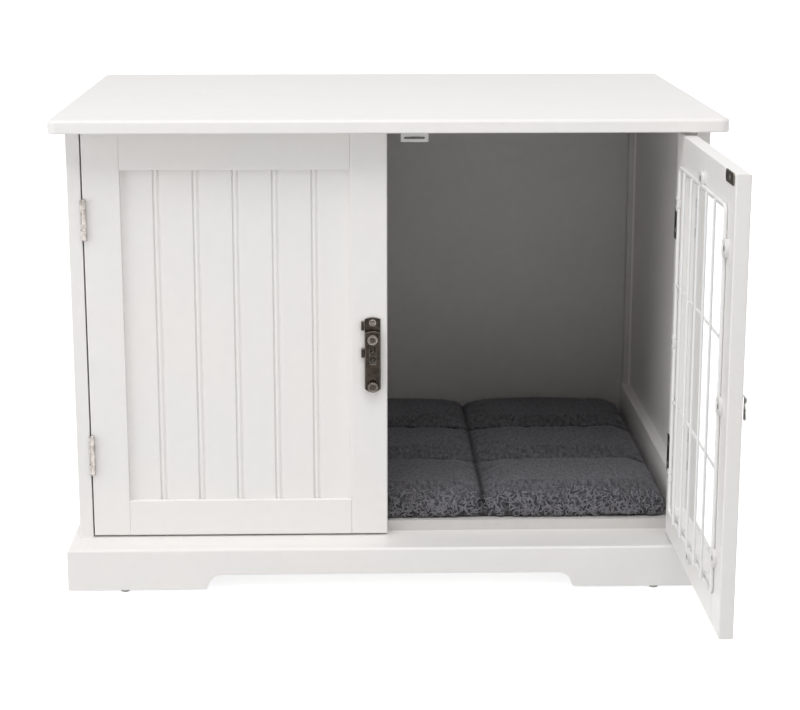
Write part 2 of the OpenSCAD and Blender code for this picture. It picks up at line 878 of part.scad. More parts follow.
module door_leaf() {
  difference() {
    union() {
      along_z(-leaf_h / 2, leaf_h / 2) {
        translate([door_out - leaf_t, front_y]) square([leaf_t, door_t + leaf_t / 2]);
        soft_square(door_out - leaf_wrap, inner_y, door_out, inner_y + leaf_t,
          [0, 0, leaf_t * leaf_bend_share, leaf_end_r]);
      }
      translate([pin_x, pin_y, -knuckle_mid / 2]) cylinder(h = knuckle_mid, r = barrel_r);
      block([door_out - leaf_t, pin_y + barrel_r * barrel_web_share, -knuckle_mid / 2],
        [door_out, front_y, knuckle_mid / 2]);
    }
    translate([pin_x, pin_y, -leaf_h]) cylinder(h = 2 * leaf_h, r = pin_r + pin_slack);
  }
}

module door_leaves() {
  difference() {
    for (z = hinge_zs) {
      translate([0, 0, z]) door_leaf();
    }
    door_screw_places() screw_hole(screw_len);
  }
}

module left_door_leaves() {
  color(nickel) mirrored() door_leaves();
}

module right_door_leaves() {
  color(nickel) on_right_door() door_leaves();
}

module left_leaf_screws() {
  color(nickel) mirrored() door_screw_places() screw(screw_len);
}

module right_leaf_screws() {
  color(nickel) on_right_door() door_screw_places() screw(screw_len);
}

// Door frames, drawn as the closed right door

module stile(x0, x1, outer_at_x1) {
  outer = door_edge_r;
  inner = door_inner_r;
  intersection() {
    along_z(door_z0, door_z1) soft_square(x0, front_y, x1, inner_y,
      outer_at_x1 ? [inner, outer, outer, inner] : [outer, inner, inner, outer]);
    along_x(x0 - cut, x1 + cut) soft_square(front_y, door_z0, inner_y, door_z1, [outer, outer, outer, outer]);
  }
}

module hinge_stile_blank() {
  difference() {
    stile(open_x1, door_out, true);
    for (z = hinge_zs) {
      block([door_out - leaf_t, front_y - cut, z - leaf_h / 2 - leaf_slack],
        [door_out + cut, inner_y + cut, z + leaf_h / 2 + leaf_slack]);
    }
    door_screw_places() screw_hole(screw_len);
  }
}

module strike_screw_place() {
  translate([catch_x, strike_y, strike_z]) rotate([-90, 0, 0]) children();
}

module free_stile_blank() {
  difference() {
    stile(door_in, open_x0, false);
    strike_screw_place() screw_hole(screw_len);
  }
}

module rail(z0, z1, outer_at_z1) {
  outer = door_edge_r;
  inner = door_inner_r;
  along_x(open_x0, open_x1) soft_square(front_y, z0, inner_y, z1,
    outer_at_z1 ? [inner, inner, outer, outer] : [outer, outer, inner, inner]);
}

// Plain tenon on both ends of a rail, with room all round when it is a mortise
module tenon(z0, z1, y0, t, room) {
  block([open_x0 - tenon_len - room, y0 - room, z0 - room],
    [open_x1 + tenon_len + room, y0 + t + room, z1 + room]);
}

// Heights of the rails' tenons: [bottom rail, top rail]
right_tenons = [
  [door_z0 + tenon_inset, open_z0 - panel_groove],
  [open_z1 + panel_groove, door_z1 - tenon_inset]
];

module right_mortises() {
  for (z = right_tenons) {
    tenon(z[0], z[1], tenon_y0, tenon_t, tenon_slack);
  }
}

module right_hinge_stile() {
  color(white) on_right_door() difference() {
    hinge_stile_blank();
    right_mortises();
    clip_places() clip_screw_hole();
  }
}

module right_free_stile() {
  color(white) on_right_door() difference() {
    free_stile_blank();
    right_mortises();
    clip_places() clip_screw_hole();
    keeper_screw_places() screw_hole(screw_len);
  }
}

module right_rail(i, z0, z1) {
  difference() {
    union() {
      rail(z0, z1, i == 1);
      tenon(right_tenons[i][0], right_tenons[i][1], tenon_y0, tenon_t, 0);
    }
    clip_places() clip_screw_hole();
  }
}

module right_bottom_rail() {
  color(white) on_right_door() right_rail(0, door_z0, open_z0);
}

module right_top_rail() {
  color(white) on_right_door() right_rail(1, open_z1, door_z1);
}

// Groove around the left door's opening for the panel and the rails' tenons
module stile_groove() {
  y1 = groove_y0 + bead_panel_t + 2 * tenon_slack;
  block([open_x0 - panel_groove, groove_y0, door_z0 + tenon_inset - tenon_slack],
    [open_x1 + panel_groove, y1, door_z1 - tenon_inset + tenon_slack]);
}

module left_hinge_stile() {
  color(white) mirrored() difference() {
    hinge_stile_blank();
    stile_groove();
  }
}

module left_latch_stile() {
  color(white) difference() {
    mirrored() difference() {
      free_stile_blank();
      stile_groove();
    }
    latch_screw_places() screw_hole(screw_len, screw_r, latch_head_r);
    pivot_hole();
  }
}

module left_rail(i, z0, z1) {
  groove_z = i == 1 ? [z0 - cut, z0 + panel_groove] : [z1 - panel_groove, z1 + cut];
  tongue_z = i == 1 ? [z0 + panel_groove, z1 - tenon_inset] : [z0 + tenon_inset, z1 - panel_groove];
  difference() {
    union() {
      rail(z0, z1, i == 1);
      block([open_x0 - panel_groove + tenon_slack, groove_y0 + tenon_slack, tongue_z[0]],
        [open_x1 + panel_groove - tenon_slack, groove_y0 + bead_panel_t + tenon_slack, tongue_z[1]]);
    }
    block([open_x0 - panel_groove, groove_y0, groove_z[0]],
      [open_x1 + panel_groove, groove_y0 + bead_panel_t + 2 * tenon_slack, groove_z[1]]);
  }
}

module left_bottom_rail() {
  color(white) mirrored() left_rail(0, door_z0, open_z0);
}

module left_top_rail() {
  color(white) mirrored() left_rail(1, open_z1, door_z1);
}

// Beadboard panel: each bead is a round moulding between two fine grooves
module bead_outline() {
  chord = bead_w / 2;
  r = (chord * chord + bead_groove_d * bead_groove_d) / (2 * bead_groove_d);
  half = chord + bead_groove_w;
  difference() {
    translate([-half, -cut]) square([2 * half, cut + bead_groove_d]);
    intersection() {
      translate([0, r]) circle(r);
      translate([-half, 0]) square([2 * half, bead_groove_d + cut]);
    }
  }
}

module beadboard_panel() {
  reach = panel_groove - panel_slack;
  y0 = groove_y0 + tenon_slack;
  color(white) mirrored() along_z(open_z0 - reach, open_z1 + reach) difference() {
    translate([open_x0 - reach, y0]) square([open_x1 - open_x0 + 2 * reach, bead_panel_t]);
    for (i = [0 : bead_count - 1]) {
      translate([door_mid + (i - (bead_count - 1) / 2) * bead_pitch, y0]) bead_outline();
    }
  }
}

// Strike plates

module strike_plate() {
  x = strike_w / 2;
  z = strike_h / 2;
  c = strike_cut;
  difference() {
    translate([catch_x, 0, strike_z]) along_y(inner_y, strike_y) polygon([
      [-x + c, -z], [x - c, -z], [x, -z + c], [x, z - c], [x - c, z], [-x + c, z], [-x, z - c], [-x, -z + c]
    ]);
    strike_screw_place() screw_hole(screw_len);
  }
}

module left_strike_plate() {
  color(bronze) mirrored() strike_plate();
}

module right_strike_plate() {
  color(bronze) on_right_door() strike_plate();
}

module left_strike_screw() {
  color(nickel) mirrored() strike_screw_place() screw(screw_len);
}

module right_strike_screw() {
  color(nickel) on_right_door() strike_screw_place() screw(screw_len);
}

// Latch

module latch_screw_places() {
  for (dz = [-latch_screw_z, latch_screw_z]) {
    translate([latch_x, base_front_y, latch_z + dz]) rotate([90, 0, 0]) children();
  }
}

module pivot_hole() {
  end_y = front_y + pivot_depth + hole_extra;
  translate([latch_x, end_y, latch_z]) rotate([90, 0, 0])
    cylinder(h = end_y - arm_front_y + cut, r = pivot_r + fastener_slack);
}

// Strap outline with shallow round ends, drawn in (X, Z) about the pivot, and drawn in by an inset
module strap_outline(z0, z1, r0, r1, inset = 0) {
  x = latch_w / 2 - inset;
  dips = [for (r = [r0, r1]) r - sqrt(r * r - latch_w * latch_w / 4)];
  union() {
    translate([-x, z0 + dips[0]]) square([2 * x, z1 - z0 - dips[0] - dips[1]]);
    for (end = [[z0 + r0, r0], [z1 - r1, r1]]) {
      intersection() {
        translate([0, end[0]]) circle(end[1] - inset);
        translate([-x, end[0] - end[1]]) square([2 * x, 2 * end[1]]);
      }
    }
  }
}

// Flat round head with a raised rim, in (radius, height)
module rimmed_head(r, h) {
  in = r - head_bevel - head_rim_w;
  rotate_extrude() polygon([
    [0, 0], [r, 0], [r, h - head_bevel], [r - head_bevel, h], [in, h], [in - head_bevel, h - head_dip],
    [0, h - head_dip / 4]
  ]);
}

module latch_base_plate() {
  lug_x = -latch_w / 2 - lug_gap;
  color(bronze) difference() {
    translate([latch_x, 0, latch_z]) union() {
      along_y(base_front_y, front_y)
        strap_outline(-latch_base_reach, latch_base_reach, strap_end_r, strap_end_r);
      for (side = [-1, 1]) {
        block([lug_x - lug_w, base_front_y, side * lug_z - lug_h / 2],
          [-latch_w / 2 + lug_root, front_y, side * lug_z + lug_h / 2]);
        block([lug_x - lug_w, arm_mid_y, side * lug_z - lug_h / 2],
          [lug_x, front_y, side * lug_z + lug_h / 2]);
      }
    }
    latch_screw_places() screw_hole(screw_len, screw_r, latch_head_r);
    pivot_hole();
  }
}

module latch_base_screws() {
  color(nickel) latch_screw_places() screw(screw_len, screw_r, latch_head_r);
}

module latch_pivot() {
  y = arm_front_y - pivot_head_gap;
  color(bronze) translate([latch_x, y, latch_z]) rotate([90, 0, 0]) {
    rimmed_head(pivot_head_r, pivot_head_h);
    mirror([0, 0, 1]) cylinder(h = front_y + pivot_depth - y, r = pivot_r);
  }
}

// Slot with round ends between two heights, drawn in (X, Z) about the pivot
module slot_outline(z0, z1, r) {
  translate([-r, z0 + r]) square([2 * r, z1 - z0 - 2 * r]);
  for (z = [z0 + r, z1 - r]) {
    translate([0, z]) circle(r);
  }
}

module latch_arm_outline(inset) {
  strap_outline(-arm_reach, arm_top, arm_end_r, strap_end_r, inset, $fn = hull_fn);
}

module latch_arm() {
  cover_x = cavity_w / 2 + cover_lap + cover_slack;
  r = spring_slot_r;
  color(bronze) difference() {
    translate([latch_x, 0, latch_z]) difference() {
      hull() {
        along_y(arm_front_y + arm_bevel, arm_back_y) latch_arm_outline(0);
        along_y(arm_front_y, arm_back_y) latch_arm_outline(arm_bevel);
      }
      block([-cavity_w / 2, cavity_front_y, -bolt_bottom - bolt_room],
        [cavity_w / 2, arm_back_y + cut, -bolt_top + bolt_travel + bolt_room]);
      block([-cover_x, arm_back_y - cover_t - cover_slack, cover_z0 - cover_slack],
        [cover_x, arm_back_y + cut, cover_z1 + cover_slack]);
      along_y(arm_front_y - cut, arm_back_y + cut)
        soft_square(-spring_slot_w / 2, -bolt_top, spring_slot_w / 2, -spring_seat, [r, r, r, r]);
      along_y(arm_front_y - cut, cavity_front_y + cut)
        slot_outline(-knob_z - neck_slot_r, -knob_z + bolt_travel + neck_slot_r, neck_slot_r);
    }
    pivot_hole();
  }
}

module latch_arm_cover() {
  x = cavity_w / 2 + cover_lap;
  color(bronze) translate([latch_x, 0, latch_z])
    block([-x, arm_back_y - cover_t, cover_z0], [x, arm_back_y, cover_z1]);
}

module latch_bolt() {
  x = bolt_w / 2;
  root = bolt_t / 2;
  neck = bolt_front_y - keeper_front_y + neck_proud;
  color(bronze) translate([latch_x, 0, latch_z]) {
    block([-x, bolt_front_y, -bolt_bottom], [x, bolt_back_y, -bolt_top]);
    translate([0, arm_mid_y, -bolt_top - cut])
      cylinder(h = spring_len - bolt_travel - rod_room + cut, r = rod_r);
    translate([0, bolt_front_y, -knob_z]) rotate([90, 0, 0]) {
      translate([0, 0, -root]) cylinder(h = neck + root, r = knob_neck_r);
      translate([0, 0, neck]) rimmed_head(knob_r, knob_head_h);
    }
  }
}

// Spring: one tube along a helix whose pitch narrows towards both ends
spring_rings = spring_curls * rings_per_curl;
function spring_at(k) = let (t = k / spring_rings, turn = 360 * spring_curls * t) [
  spring_r * cos(turn),
  spring_r * sin(turn),
  spring_wire_r + (spring_len - 2 * spring_wire_r) * (t - spring_close * sin(360 * t) / (2 * PI))
];
spring_line = [for (k = [0 : spring_rings]) spring_at(k)];
spring_gap = min([
  for (i = [0 : spring_rings], j = [0 : spring_rings]) if (j - i > rings_per_curl / 2)
    norm(spring_line[j] - spring_line[i]) - 2 * spring_wire_r
]);

module latch_spring() {
  echo(str("least gap of the spring to itself: ", spring_gap, " mm"));
  n = spring_sides;
  last = spring_rings * n;
  points = [
    for (k = [0 : spring_rings], s = [0 : n - 1])
      let (p = spring_line[k], turn = 360 * spring_curls * k / spring_rings, a = 360 * s / n)
        p + spring_wire_r * [cos(a) * cos(turn), cos(a) * sin(turn), sin(a)]
  ];
  walls = [
    for (k = [0 : spring_rings - 1], s = [0 : n - 1])
      let (a = k * n + s, b = k * n + (s + 1) % n)
        each [[a, b, a + n], [b, b + n, a + n]]
  ];
  caps = [for (s = [1 : n - 2]) each [[0, s + 1, s], [last, last + s, last + s + 1]]];
  color("silver") translate([latch_x, arm_mid_y, latch_z - bolt_top + spring_end_gap])
    polyhedron(points = points, faces = concat(walls, caps));
}

// Keeper, drawn on the closed right door

module keeper_screw_places() {
  for (z = keeper_screw_zs) {
    translate([keeper_screw_x, front_y - keeper_t, z]) rotate([90, 0, 0]) children();
  }
}

module keeper_blank() {
  t = keeper_t;
  y0 = keeper_front_y;
  block([keeper_x0, front_y - t, keeper_z0], [keeper_x1, front_y, keeper_z1]);
  along_x(hook_x0, keeper_x1) difference() {
    soft_square(y0, keeper_z0 + hook_raise, front_y, keeper_z1, [0, 0, 0, keeper_bend_r]);
    soft_square(y0 + t, keeper_z0 - cut, front_y - t, keeper_z1 - t,
      [0, 0, keeper_root_r, keeper_bend_r - t]);
  }
}

module latch_keeper() {
  notch_r = knob_neck_r + notch_room;
  foot_z = keeper_z0 + hook_raise;
  color(bronze) on_right_door() difference() {
    keeper_blank();
    along_y(keeper_front_y - cut, keeper_front_y + keeper_t + cut) {
      translate([latched_knob_x, latch_z]) circle(notch_r);
      translate([hook_x0 - cut, latch_z - notch_r]) square([latched_knob_x - hook_x0 + cut, 2 * notch_r]);
      corner_cut(keeper_x1, foot_z, -1, 1, hook_far_r);
      corner_cut(hook_x0, foot_z, 1, 1, hook_near_r);
    }
    along_y(front_y - keeper_t - cut, front_y + cut) {
      corner_cut(keeper_x0, keeper_z0, 1, 1, keeper_corner_r);
      corner_cut(keeper_x0, keeper_z1, 1, -1, keeper_corner_r);
    }
    keeper_screw_places() screw_hole(screw_len);
  }
}

module keeper_screws() {
  color(nickel) on_right_door() keeper_screw_places() screw(screw_len);
}

// Wire grille, drawn on the closed right door

module wire_z(x, y, z0, z1, r) {
  translate([x, y, z0]) cylinder(h = z1 - z0, r = r);
}

module wire_x(z, y, x0, x1, r) {
  translate([x0, y, z]) rotate([0, 90, 0]) cylinder(h = x1 - x0, r = r);
}

module rim_corner(x, z, turn) {
  translate([x, rim_y, z]) rotate([90, turn, 0])
    rotate_extrude(angle = 90) translate([rim_corner_r, 0]) circle(rim_wire_r, $fn = wire_fn);
}

module wire_grille() {
  c = rim_corner_r;
  pitch = (rim_x1 - rim_x0) / (upright_wires + 1);
  color(white) on_right_door() {
    for (x = [rim_x0, rim_x1]) {
      wire_z(x, rim_y, rim_z0 + c, rim_z1 - c, rim_wire_r);
    }
    for (z = [rim_z0, rim_z1]) {
      wire_x(z, rim_y, rim_x0 + c, rim_x1 - c, rim_wire_r);
    }
    rim_corner(rim_x1 - c, rim_z1 - c, 0);
    rim_corner(rim_x1 - c, rim_z0 + c, 90);
    rim_corner(rim_x0 + c, rim_z0 + c, 180);
    rim_corner(rim_x0 + c, rim_z1 - c, 270);
    for (i = [1 : upright_wires]) {
      wire_z(rim_x0 + i * pitch, upright_y, rim_z0, rim_z1, wire_r);
    }
    for (side = [-1, 1]) {
      wire_x(door_mid_z + side * cross_wire_pitch / 2, rim_y, rim_x0, rim_x1, wire_r);
    }
  }
}

module clip_places() {
  for (spot = clip_spots) {
    translate([spot[0], inner_y, spot[1]]) rotate([0, spot[2], 0]) children();
  }
}

// Clip over the rim wire: drawn in (Y, Z), with the wire along X and the door's frame towards +Z
module clip_outline() {
  difference() {
    intersection() {
      union() {
        translate([rim_wire_r, 0]) circle(rim_wire_r + clip_wall);
        soft_square(0, 0, clip_tab_t, clip_reach, [0, 0, clip_tab_r, 0]);
      }
      translate([0, -clip_reach]) square([2 * clip_reach, 2 * clip_reach + cut]);
    }
    translate([rim_wire_r, 0]) circle(rim_wire_r + fastener_slack);
    translate([-cut, -rim_wire_r - fastener_slack])
      square([cut + rim_wire_r, 2 * (rim_wire_r + fastener_slack)]);
  }
}

module grille_clip() {
  x = clip_w / 2;
  r = clip_corner_r;
  difference() {
    intersection() {
      along_x(-x, x) clip_outline();
      along_y(-cut, clip_reach) soft_square(-x, -rim_wire_r - clip_wall, x, clip_reach, [r, r, r, r]);
    }
    clip_screw_hole();
  }
}

module clip_screw_hole() {
  translate([0, clip_tab_t, clip_screw_u]) rotate([-90, 0, 0]) screw_hole(screw_len);
}

// The clips on the rails also straddle the ends of the middle upright wire
module grille_clips() {
  room = fastener_slack;
  color(white) on_right_door() difference() {
    clip_places() grille_clip();
    wire_z(door_mid, upright_y, rim_z0 - room, rim_z1 + room, wire_r + 2 * room);
  }
}

module clip_screws() {
  color(nickel) on_right_door() clip_places()
    translate([0, clip_tab_t, clip_screw_u]) rotate([-90, 0, 0]) screw(screw_len);
}

// Cushion: a grid over and one under, joined by a low wall; a cell lies between each pair of channels

function cell_place(i, steps, cells) = (floor(i / steps) + (1 - cos(180 * (i % steps) / steps)) / 2) / cells;
function cell_bulge(i, steps) = pow(max(0, sin(180 * (i % steps) / steps)), cell_fullness);
function roll_rise(d, r) = d >= r ? 1 : sqrt(max(0, 1 - pow(1 - d / r, 2)));

module cushion() {
  nx = cells_x * cushion_steps[0];
  ny = cells_y * cushion_steps[1];
  w = 2 * cushion_x;
  d = cushion_y1 - cushion_y0;
  function place(i, j, r) = let (
    a = cell_place(i, cushion_steps[0], cells_x) * w,
    b = cell_place(j, cushion_steps[1], cells_y) * d,
    bulge_x = cell_bulge(i, cushion_steps[0]),
    bulge_y = cell_bulge(j, cushion_steps[1]),
    in_x = (i == 0 ? 1 : i == nx ? -1 : 0) * draw_in * (1 - bulge_y),
    in_y = (j == 0 ? 1 : j == ny ? -1 : 0) * draw_in * (1 - bulge_x),
    rise = roll_rise(min(a, w - a), r) * roll_rise(min(b, d - b), r)
  ) [a + in_x - cushion_x, b + in_y + cushion_y0, rise, bulge_x * bulge_y];
  over = [
    for (j = [0 : ny], i = [0 : nx]) let (
      p = place(i, j, roll_r),
      high = edge_h + (channel_h - edge_h) * p[2] + (crown_h - channel_h) * p[2] * p[3]
    ) [p[0], p[1], floor_top + high]
  ];
  under = [
    for (j = [0 : ny], i = [0 : nx]) let (p = place(i, j, foot_r))
      [p[0], p[1], floor_top + cushion_gap + foot_r * (1 - p[2])]
  ];
  row = nx + 1;
  base = row * (ny + 1);
  // The quads of two opposite quarters are split along the other diagonal, so that each corner of the
  // cushion has a triangle on either side of it.
  function halves(a, b, c, e, i, j) =
    (i < nx / 2) == (j < ny / 2) ? [[a, c, e], [a, e, b]] : [[a, c, b], [b, c, e]];
  over_faces = [
    for (j = [0 : ny - 1], i = [0 : nx - 1])
      let (a = j * row + i) each halves(a, a + 1, a + row, a + row + 1, i, j)
  ];
  under_faces = [
    for (j = [0 : ny - 1], i = [0 : nx - 1])
      let (a = base + j * row + i) each halves(a, a + row, a + 1, a + row + 1, i, j)
  ];
  border = concat(
    [for (i = [0 : nx - 1]) i],
    [for (j = [0 : ny - 1]) j * row + nx],
    [for (i = [nx : -1 : 1]) ny * row + i],
    [for (j = [ny : -1 : 1]) j * row]
  );
  wall_faces = [
    for (k = [0 : len(border) - 1])
      let (p = border[k], q = border[(k + 1) % len(border)]) each [[p, q, base + q], [p, base + q, base + p]]
  ];
  color(fleece) polyhedron(points = concat(over, under), faces = concat(over_faces, under_faces, wall_faces));
}

top_panel();
left_side_panel();
right_side_panel();
back_panel();
base_panel();
floor_panel();
plinth_front();
plinth_left();
plinth_right();
plinth_back();
glides();
left_floor_batten();
right_floor_batten();
corner_battens();
base_screws();
top_dowels();
catch_housings();
catch_magnets();
catch_screws();
left_cabinet_leaves();
right_cabinet_leaves();
cabinet_leaf_screws();
hinge_pins();
cushion();
left_hinge_stile();
left_latch_stile();
left_top_rail();
left_bottom_rail();
beadboard_panel();
left_door_leaves();
left_leaf_screws();
left_strike_plate();
left_strike_screw();
latch_base_plate();
latch_base_screws();
latch_pivot();
latch_arm();
latch_arm_cover();
latch_spring();
latch_bolt();
right_hinge_stile();
right_free_stile();
right_top_rail();
right_bottom_rail();
wire_grille();
grille_clips();
clip_screws();
right_door_leaves();
right_leaf_screws();
right_strike_plate();
right_strike_screw();
latch_keeper();
keeper_screws();
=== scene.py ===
"""Looks of the indoor kennel: finishes, the fleece cushion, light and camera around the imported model."""

import math

import bpy
import numpy as np
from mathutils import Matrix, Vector
from mathutils.bvhtree import BVHTree


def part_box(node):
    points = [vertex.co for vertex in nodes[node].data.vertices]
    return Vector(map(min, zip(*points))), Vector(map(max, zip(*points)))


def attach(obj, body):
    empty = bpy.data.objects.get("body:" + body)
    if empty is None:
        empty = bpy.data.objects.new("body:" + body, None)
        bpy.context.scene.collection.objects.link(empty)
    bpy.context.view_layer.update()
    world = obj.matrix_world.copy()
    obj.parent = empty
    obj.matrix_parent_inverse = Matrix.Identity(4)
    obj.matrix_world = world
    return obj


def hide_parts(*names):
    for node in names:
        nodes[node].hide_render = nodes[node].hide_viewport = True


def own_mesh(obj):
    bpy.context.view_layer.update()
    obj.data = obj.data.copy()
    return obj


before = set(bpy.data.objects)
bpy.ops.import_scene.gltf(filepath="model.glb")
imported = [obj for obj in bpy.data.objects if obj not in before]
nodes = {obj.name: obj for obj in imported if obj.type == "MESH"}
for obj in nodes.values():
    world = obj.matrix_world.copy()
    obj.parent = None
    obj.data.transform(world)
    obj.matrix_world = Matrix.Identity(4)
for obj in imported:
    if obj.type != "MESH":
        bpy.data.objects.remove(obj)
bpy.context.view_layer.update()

# All lengths are in metres
SEED = 7
TINY = 1e-9

# Camera: where the photograph was taken from, and its angles in degrees
CAMERA_AT = (-0.04087, -2.36113, 0.76993)
CAMERA_DOWN = 13.3505
CAMERA_RIGHT = 1.417
CAMERA_REACH = 60.0
LENS_MM = 88.60
SENSOR_MM = 36.0


def rgb(red, green, blue):
    return (red, green, blue, 1.0)


def add_object(name, data):
    """A new object of the scene."""
    obj = bpy.data.objects.new(name, data)
    bpy.context.scene.collection.objects.link(obj)
    return obj


# Materials

WHITE = rgb(1.0, 1.0, 1.0)
WARM_WHITE = rgb(0.865, 0.84, 0.82)
COOL_WHITE = rgb(0.85, 0.838, 0.822)
DULL_WHITE = rgb(0.78, 0.765, 0.75)
# A paler white, painted light along eased edges and grooves
EDGE_PAINTED_LIGHT = rgb(0.975, 0.96, 0.945)

# The inside of the cabinet along X, Y and Z, where the lacquer gets painted shade
INSIDE = ((-0.3342, 0.3342), (-0.2034, 0.2500), (0.0500, 0.5126))
# A darker tone of the lacquer: painted shade on the weakly lit walls inside the cabinet
INSIDE_PAINTED_SHADE = rgb(0.63, 0.614, 0.594)

# Levels of noise between which it fades from 0 to 1
SOFT_FADE = (0.35, 0.65)
WIDE_FADE = (0.3, 0.7)
PATCH_FADE = (0.35, 0.68)
FIBRE_FADE = (0.25, 0.75)
STROKE_FADE = (0.32, 0.68)
BLUSH_FADE = (0.4, 0.65)

# Cosines between the eased and the true normal, at which a face ends and an edge begins
EDGE_FADE = (0.985, 0.86)
BEVEL_SAMPLES = 4

LACQUER_GLOSS = 0.42
LACQUER_EDGE = 0.0008
MOTTLE_SHARE = 0.18
PLASTIC_EDGE = 0.0005

# The fleece's darkest and palest tones, between which its painted shade, its painted highlight and its own
# fibres move
FLEECE_DARK = rgb(0.012, 0.012, 0.014)
FLEECE_PALE = rgb(0.228, 0.224, 0.242)
FLEECE_BLUSH = rgb(0.085, 0.078, 0.078)
BLUSH_SHARE = 0.3
FIBRE_DEPTH = 0.12
STROKE_DEPTH = 0.2
DARK_HEIGHT = 0.1

# The sewn lines in the fleece: their painted shade, how far they wander, where they end and the least share
SEAM_PAINTED_SHADE = rgb(0.014, 0.013, 0.013)
SEAM_WANDER = 0.0012
SEAM_FADE = (0.0008, 0.0034)
SEAM_SHARE = 0.32


class Finish:
    """A Principled material and the procedural nodes that feed it."""

    def __init__(self, name, **sockets):
        self.material = bpy.data.materials.new(name)
        self.material.use_nodes = True
        self.tree = self.material.node_tree
        self.shader = self.tree.nodes["Principled BSDF"]
        self.place = self.add("TexCoord").outputs["Object"]
        for socket, value in sockets.items():
            self.set(self.shader.inputs[socket.replace("_", " ")], value)

    def set(self, socket, value):
        if isinstance(value, bpy.types.NodeSocket):
            self.tree.links.new(value, socket)
        else:
            socket.default_value = value

    def add(self, kind, inputs=None, **settings):
        made = self.tree.nodes.new("ShaderNode" + kind)
        for key, value in settings.items():
            setattr(made, key, value)
        for key, value in (inputs or {}).items():
            self.set(made.inputs[key], value)
        return made

    def noise(self, size, detail=3.0, rough=0.55, warp=0.0, stretch=None):
        """Noise with features of about size, stretched along an axis where stretch says so."""
        place = self.place
        if stretch:
            place = self.add("Mapping", {"Vector": place, "Scale": stretch}).outputs[0]
        made = self.add(
            "TexNoise",
            {"Vector": place, "Scale": 1 / size, "Detail": detail, "Roughness": rough, "Distortion": warp},
        )
        return made.outputs["Fac"]

    def remap(self, value, low, high, to_low=0.0, to_high=1.0):
        made = self.add(
            "MapRange",
            {"Value": value, "From Min": low, "From Max": high, "To Min": to_low, "To Max": to_high},
        )
        return made.outputs[0]

    def vary(self, low, high, size, detail):
        """A value that wanders from low to high in patches of about size."""
        return self.remap(self.noise(size, detail), *WIDE_FADE, low, high)

    def mix(self, share, first, second):
        made = self.add("Mix", data_type="RGBA")
        for index, value in ((0, share), (6, first), (7, second)):
            self.set(made.inputs[index], value)
        return made.outputs[2]

    def math(self, operation, first, second=0.5):
        return self.add("Math", {0: first, 1: second}, operation=operation).outputs[0]

    def axes(self):
        """The place on the piece along X, Y and Z."""
        return self.add("SeparateXYZ", {"Vector": self.place}).outputs

    def between(self, axis, low, high, soft=0.0004):
        """1 where the piece lies between two planes square to an axis, else 0."""
        along = self.axes()[axis]
        above = self.remap(along, low - soft, low + soft)
        below = self.remap(along, high - soft, high + soft, 1.0, 0.0)
        return self.math("MULTIPLY", above, below)

    def rounding(self, radius):
        """The shading normal of edges eased to radius."""
        return self.add("Bevel", {"Radius": radius}, samples=BEVEL_SAMPLES).outputs[0]

    def edge_share(self, radius):
        """Near 1 along the edges of a piece, 0 on its faces."""
        normal = self.add("NewGeometry").outputs["Normal"]
        dot = self.add("VectorMath", {0: normal, 1: self.rounding(radius)}, operation="DOT_PRODUCT")
        return self.remap(dot.outputs["Value"], *EDGE_FADE)

    def bump(self, height, distance, strength=1.0, normal=None):
        inputs = {"Height": height, "Distance": distance, "Strength": strength}
        if normal is not None:
            inputs["Normal"] = normal
        return self.add("Bump", inputs).outputs[0]

    def colour(self, value):
        self.set(self.shader.inputs["Base Color"], value)

    def rough(self, value):
        self.set(self.shader.inputs["Roughness"], value)

    def normal(self, value):
        self.set(self.shader.inputs["Normal"], value)


def inside_share(made):
    """1 on the walls inside the cabinet, 0 outside."""
    share = 1.0
    for axis, span in enumerate(INSIDE):
        share = made.math("MULTIPLY", share, made.between(axis, *span))
    return share


def lacquer(name, warm, cool, gloss, edge, thin_inside=False, pooled=0.0):
    """Sprayed white lacquer with orange peel and faint mottling, with painted shade inside the cabinet
    where asked, and painted light along the edges by a given share, which lifts the shade in grooves.
    """
    made = Finish(name)
    base = made.mix(made.remap(made.noise(size=0.22, detail=2.0), *SOFT_FADE), warm, cool)
    # Painted shade: the lacquer on the walls inside the cabinet is mixed towards a darker tone
    if thin_inside:
        base = made.mix(inside_share(made), base, INSIDE_PAINTED_SHADE)
    mottling = made.vary(0.0, 1.0, size=0.012, detail=3.0)
    base = made.mix(made.math("MULTIPLY", mottling, MOTTLE_SHARE), base, DULL_WHITE)
    # Painted light: edges and grooves are mixed towards a paler white, which lifts their shade
    if pooled:
        base = made.mix(made.math("MULTIPLY", made.edge_share(edge), pooled), base, EDGE_PAINTED_LIGHT)
    made.colour(base)
    made.rough(made.vary(gloss - 0.05, gloss + 0.06, size=0.03, detail=4.0))
    peel = made.noise(size=0.0032, detail=1.5)
    waves = made.noise(size=0.045, detail=1.0)
    peeled = made.bump(peel, distance=0.00006, strength=0.5, normal=made.rounding(edge))
    made.normal(made.bump(waves, distance=0.0004, strength=0.25, normal=peeled))
    return made.material


def board_lacquer(name, edge=LACQUER_EDGE, **settings):
    """The lacquer of the boards."""
    return lacquer(name, WARM_WHITE, COOL_WHITE, LACQUER_GLOSS, edge, **settings)


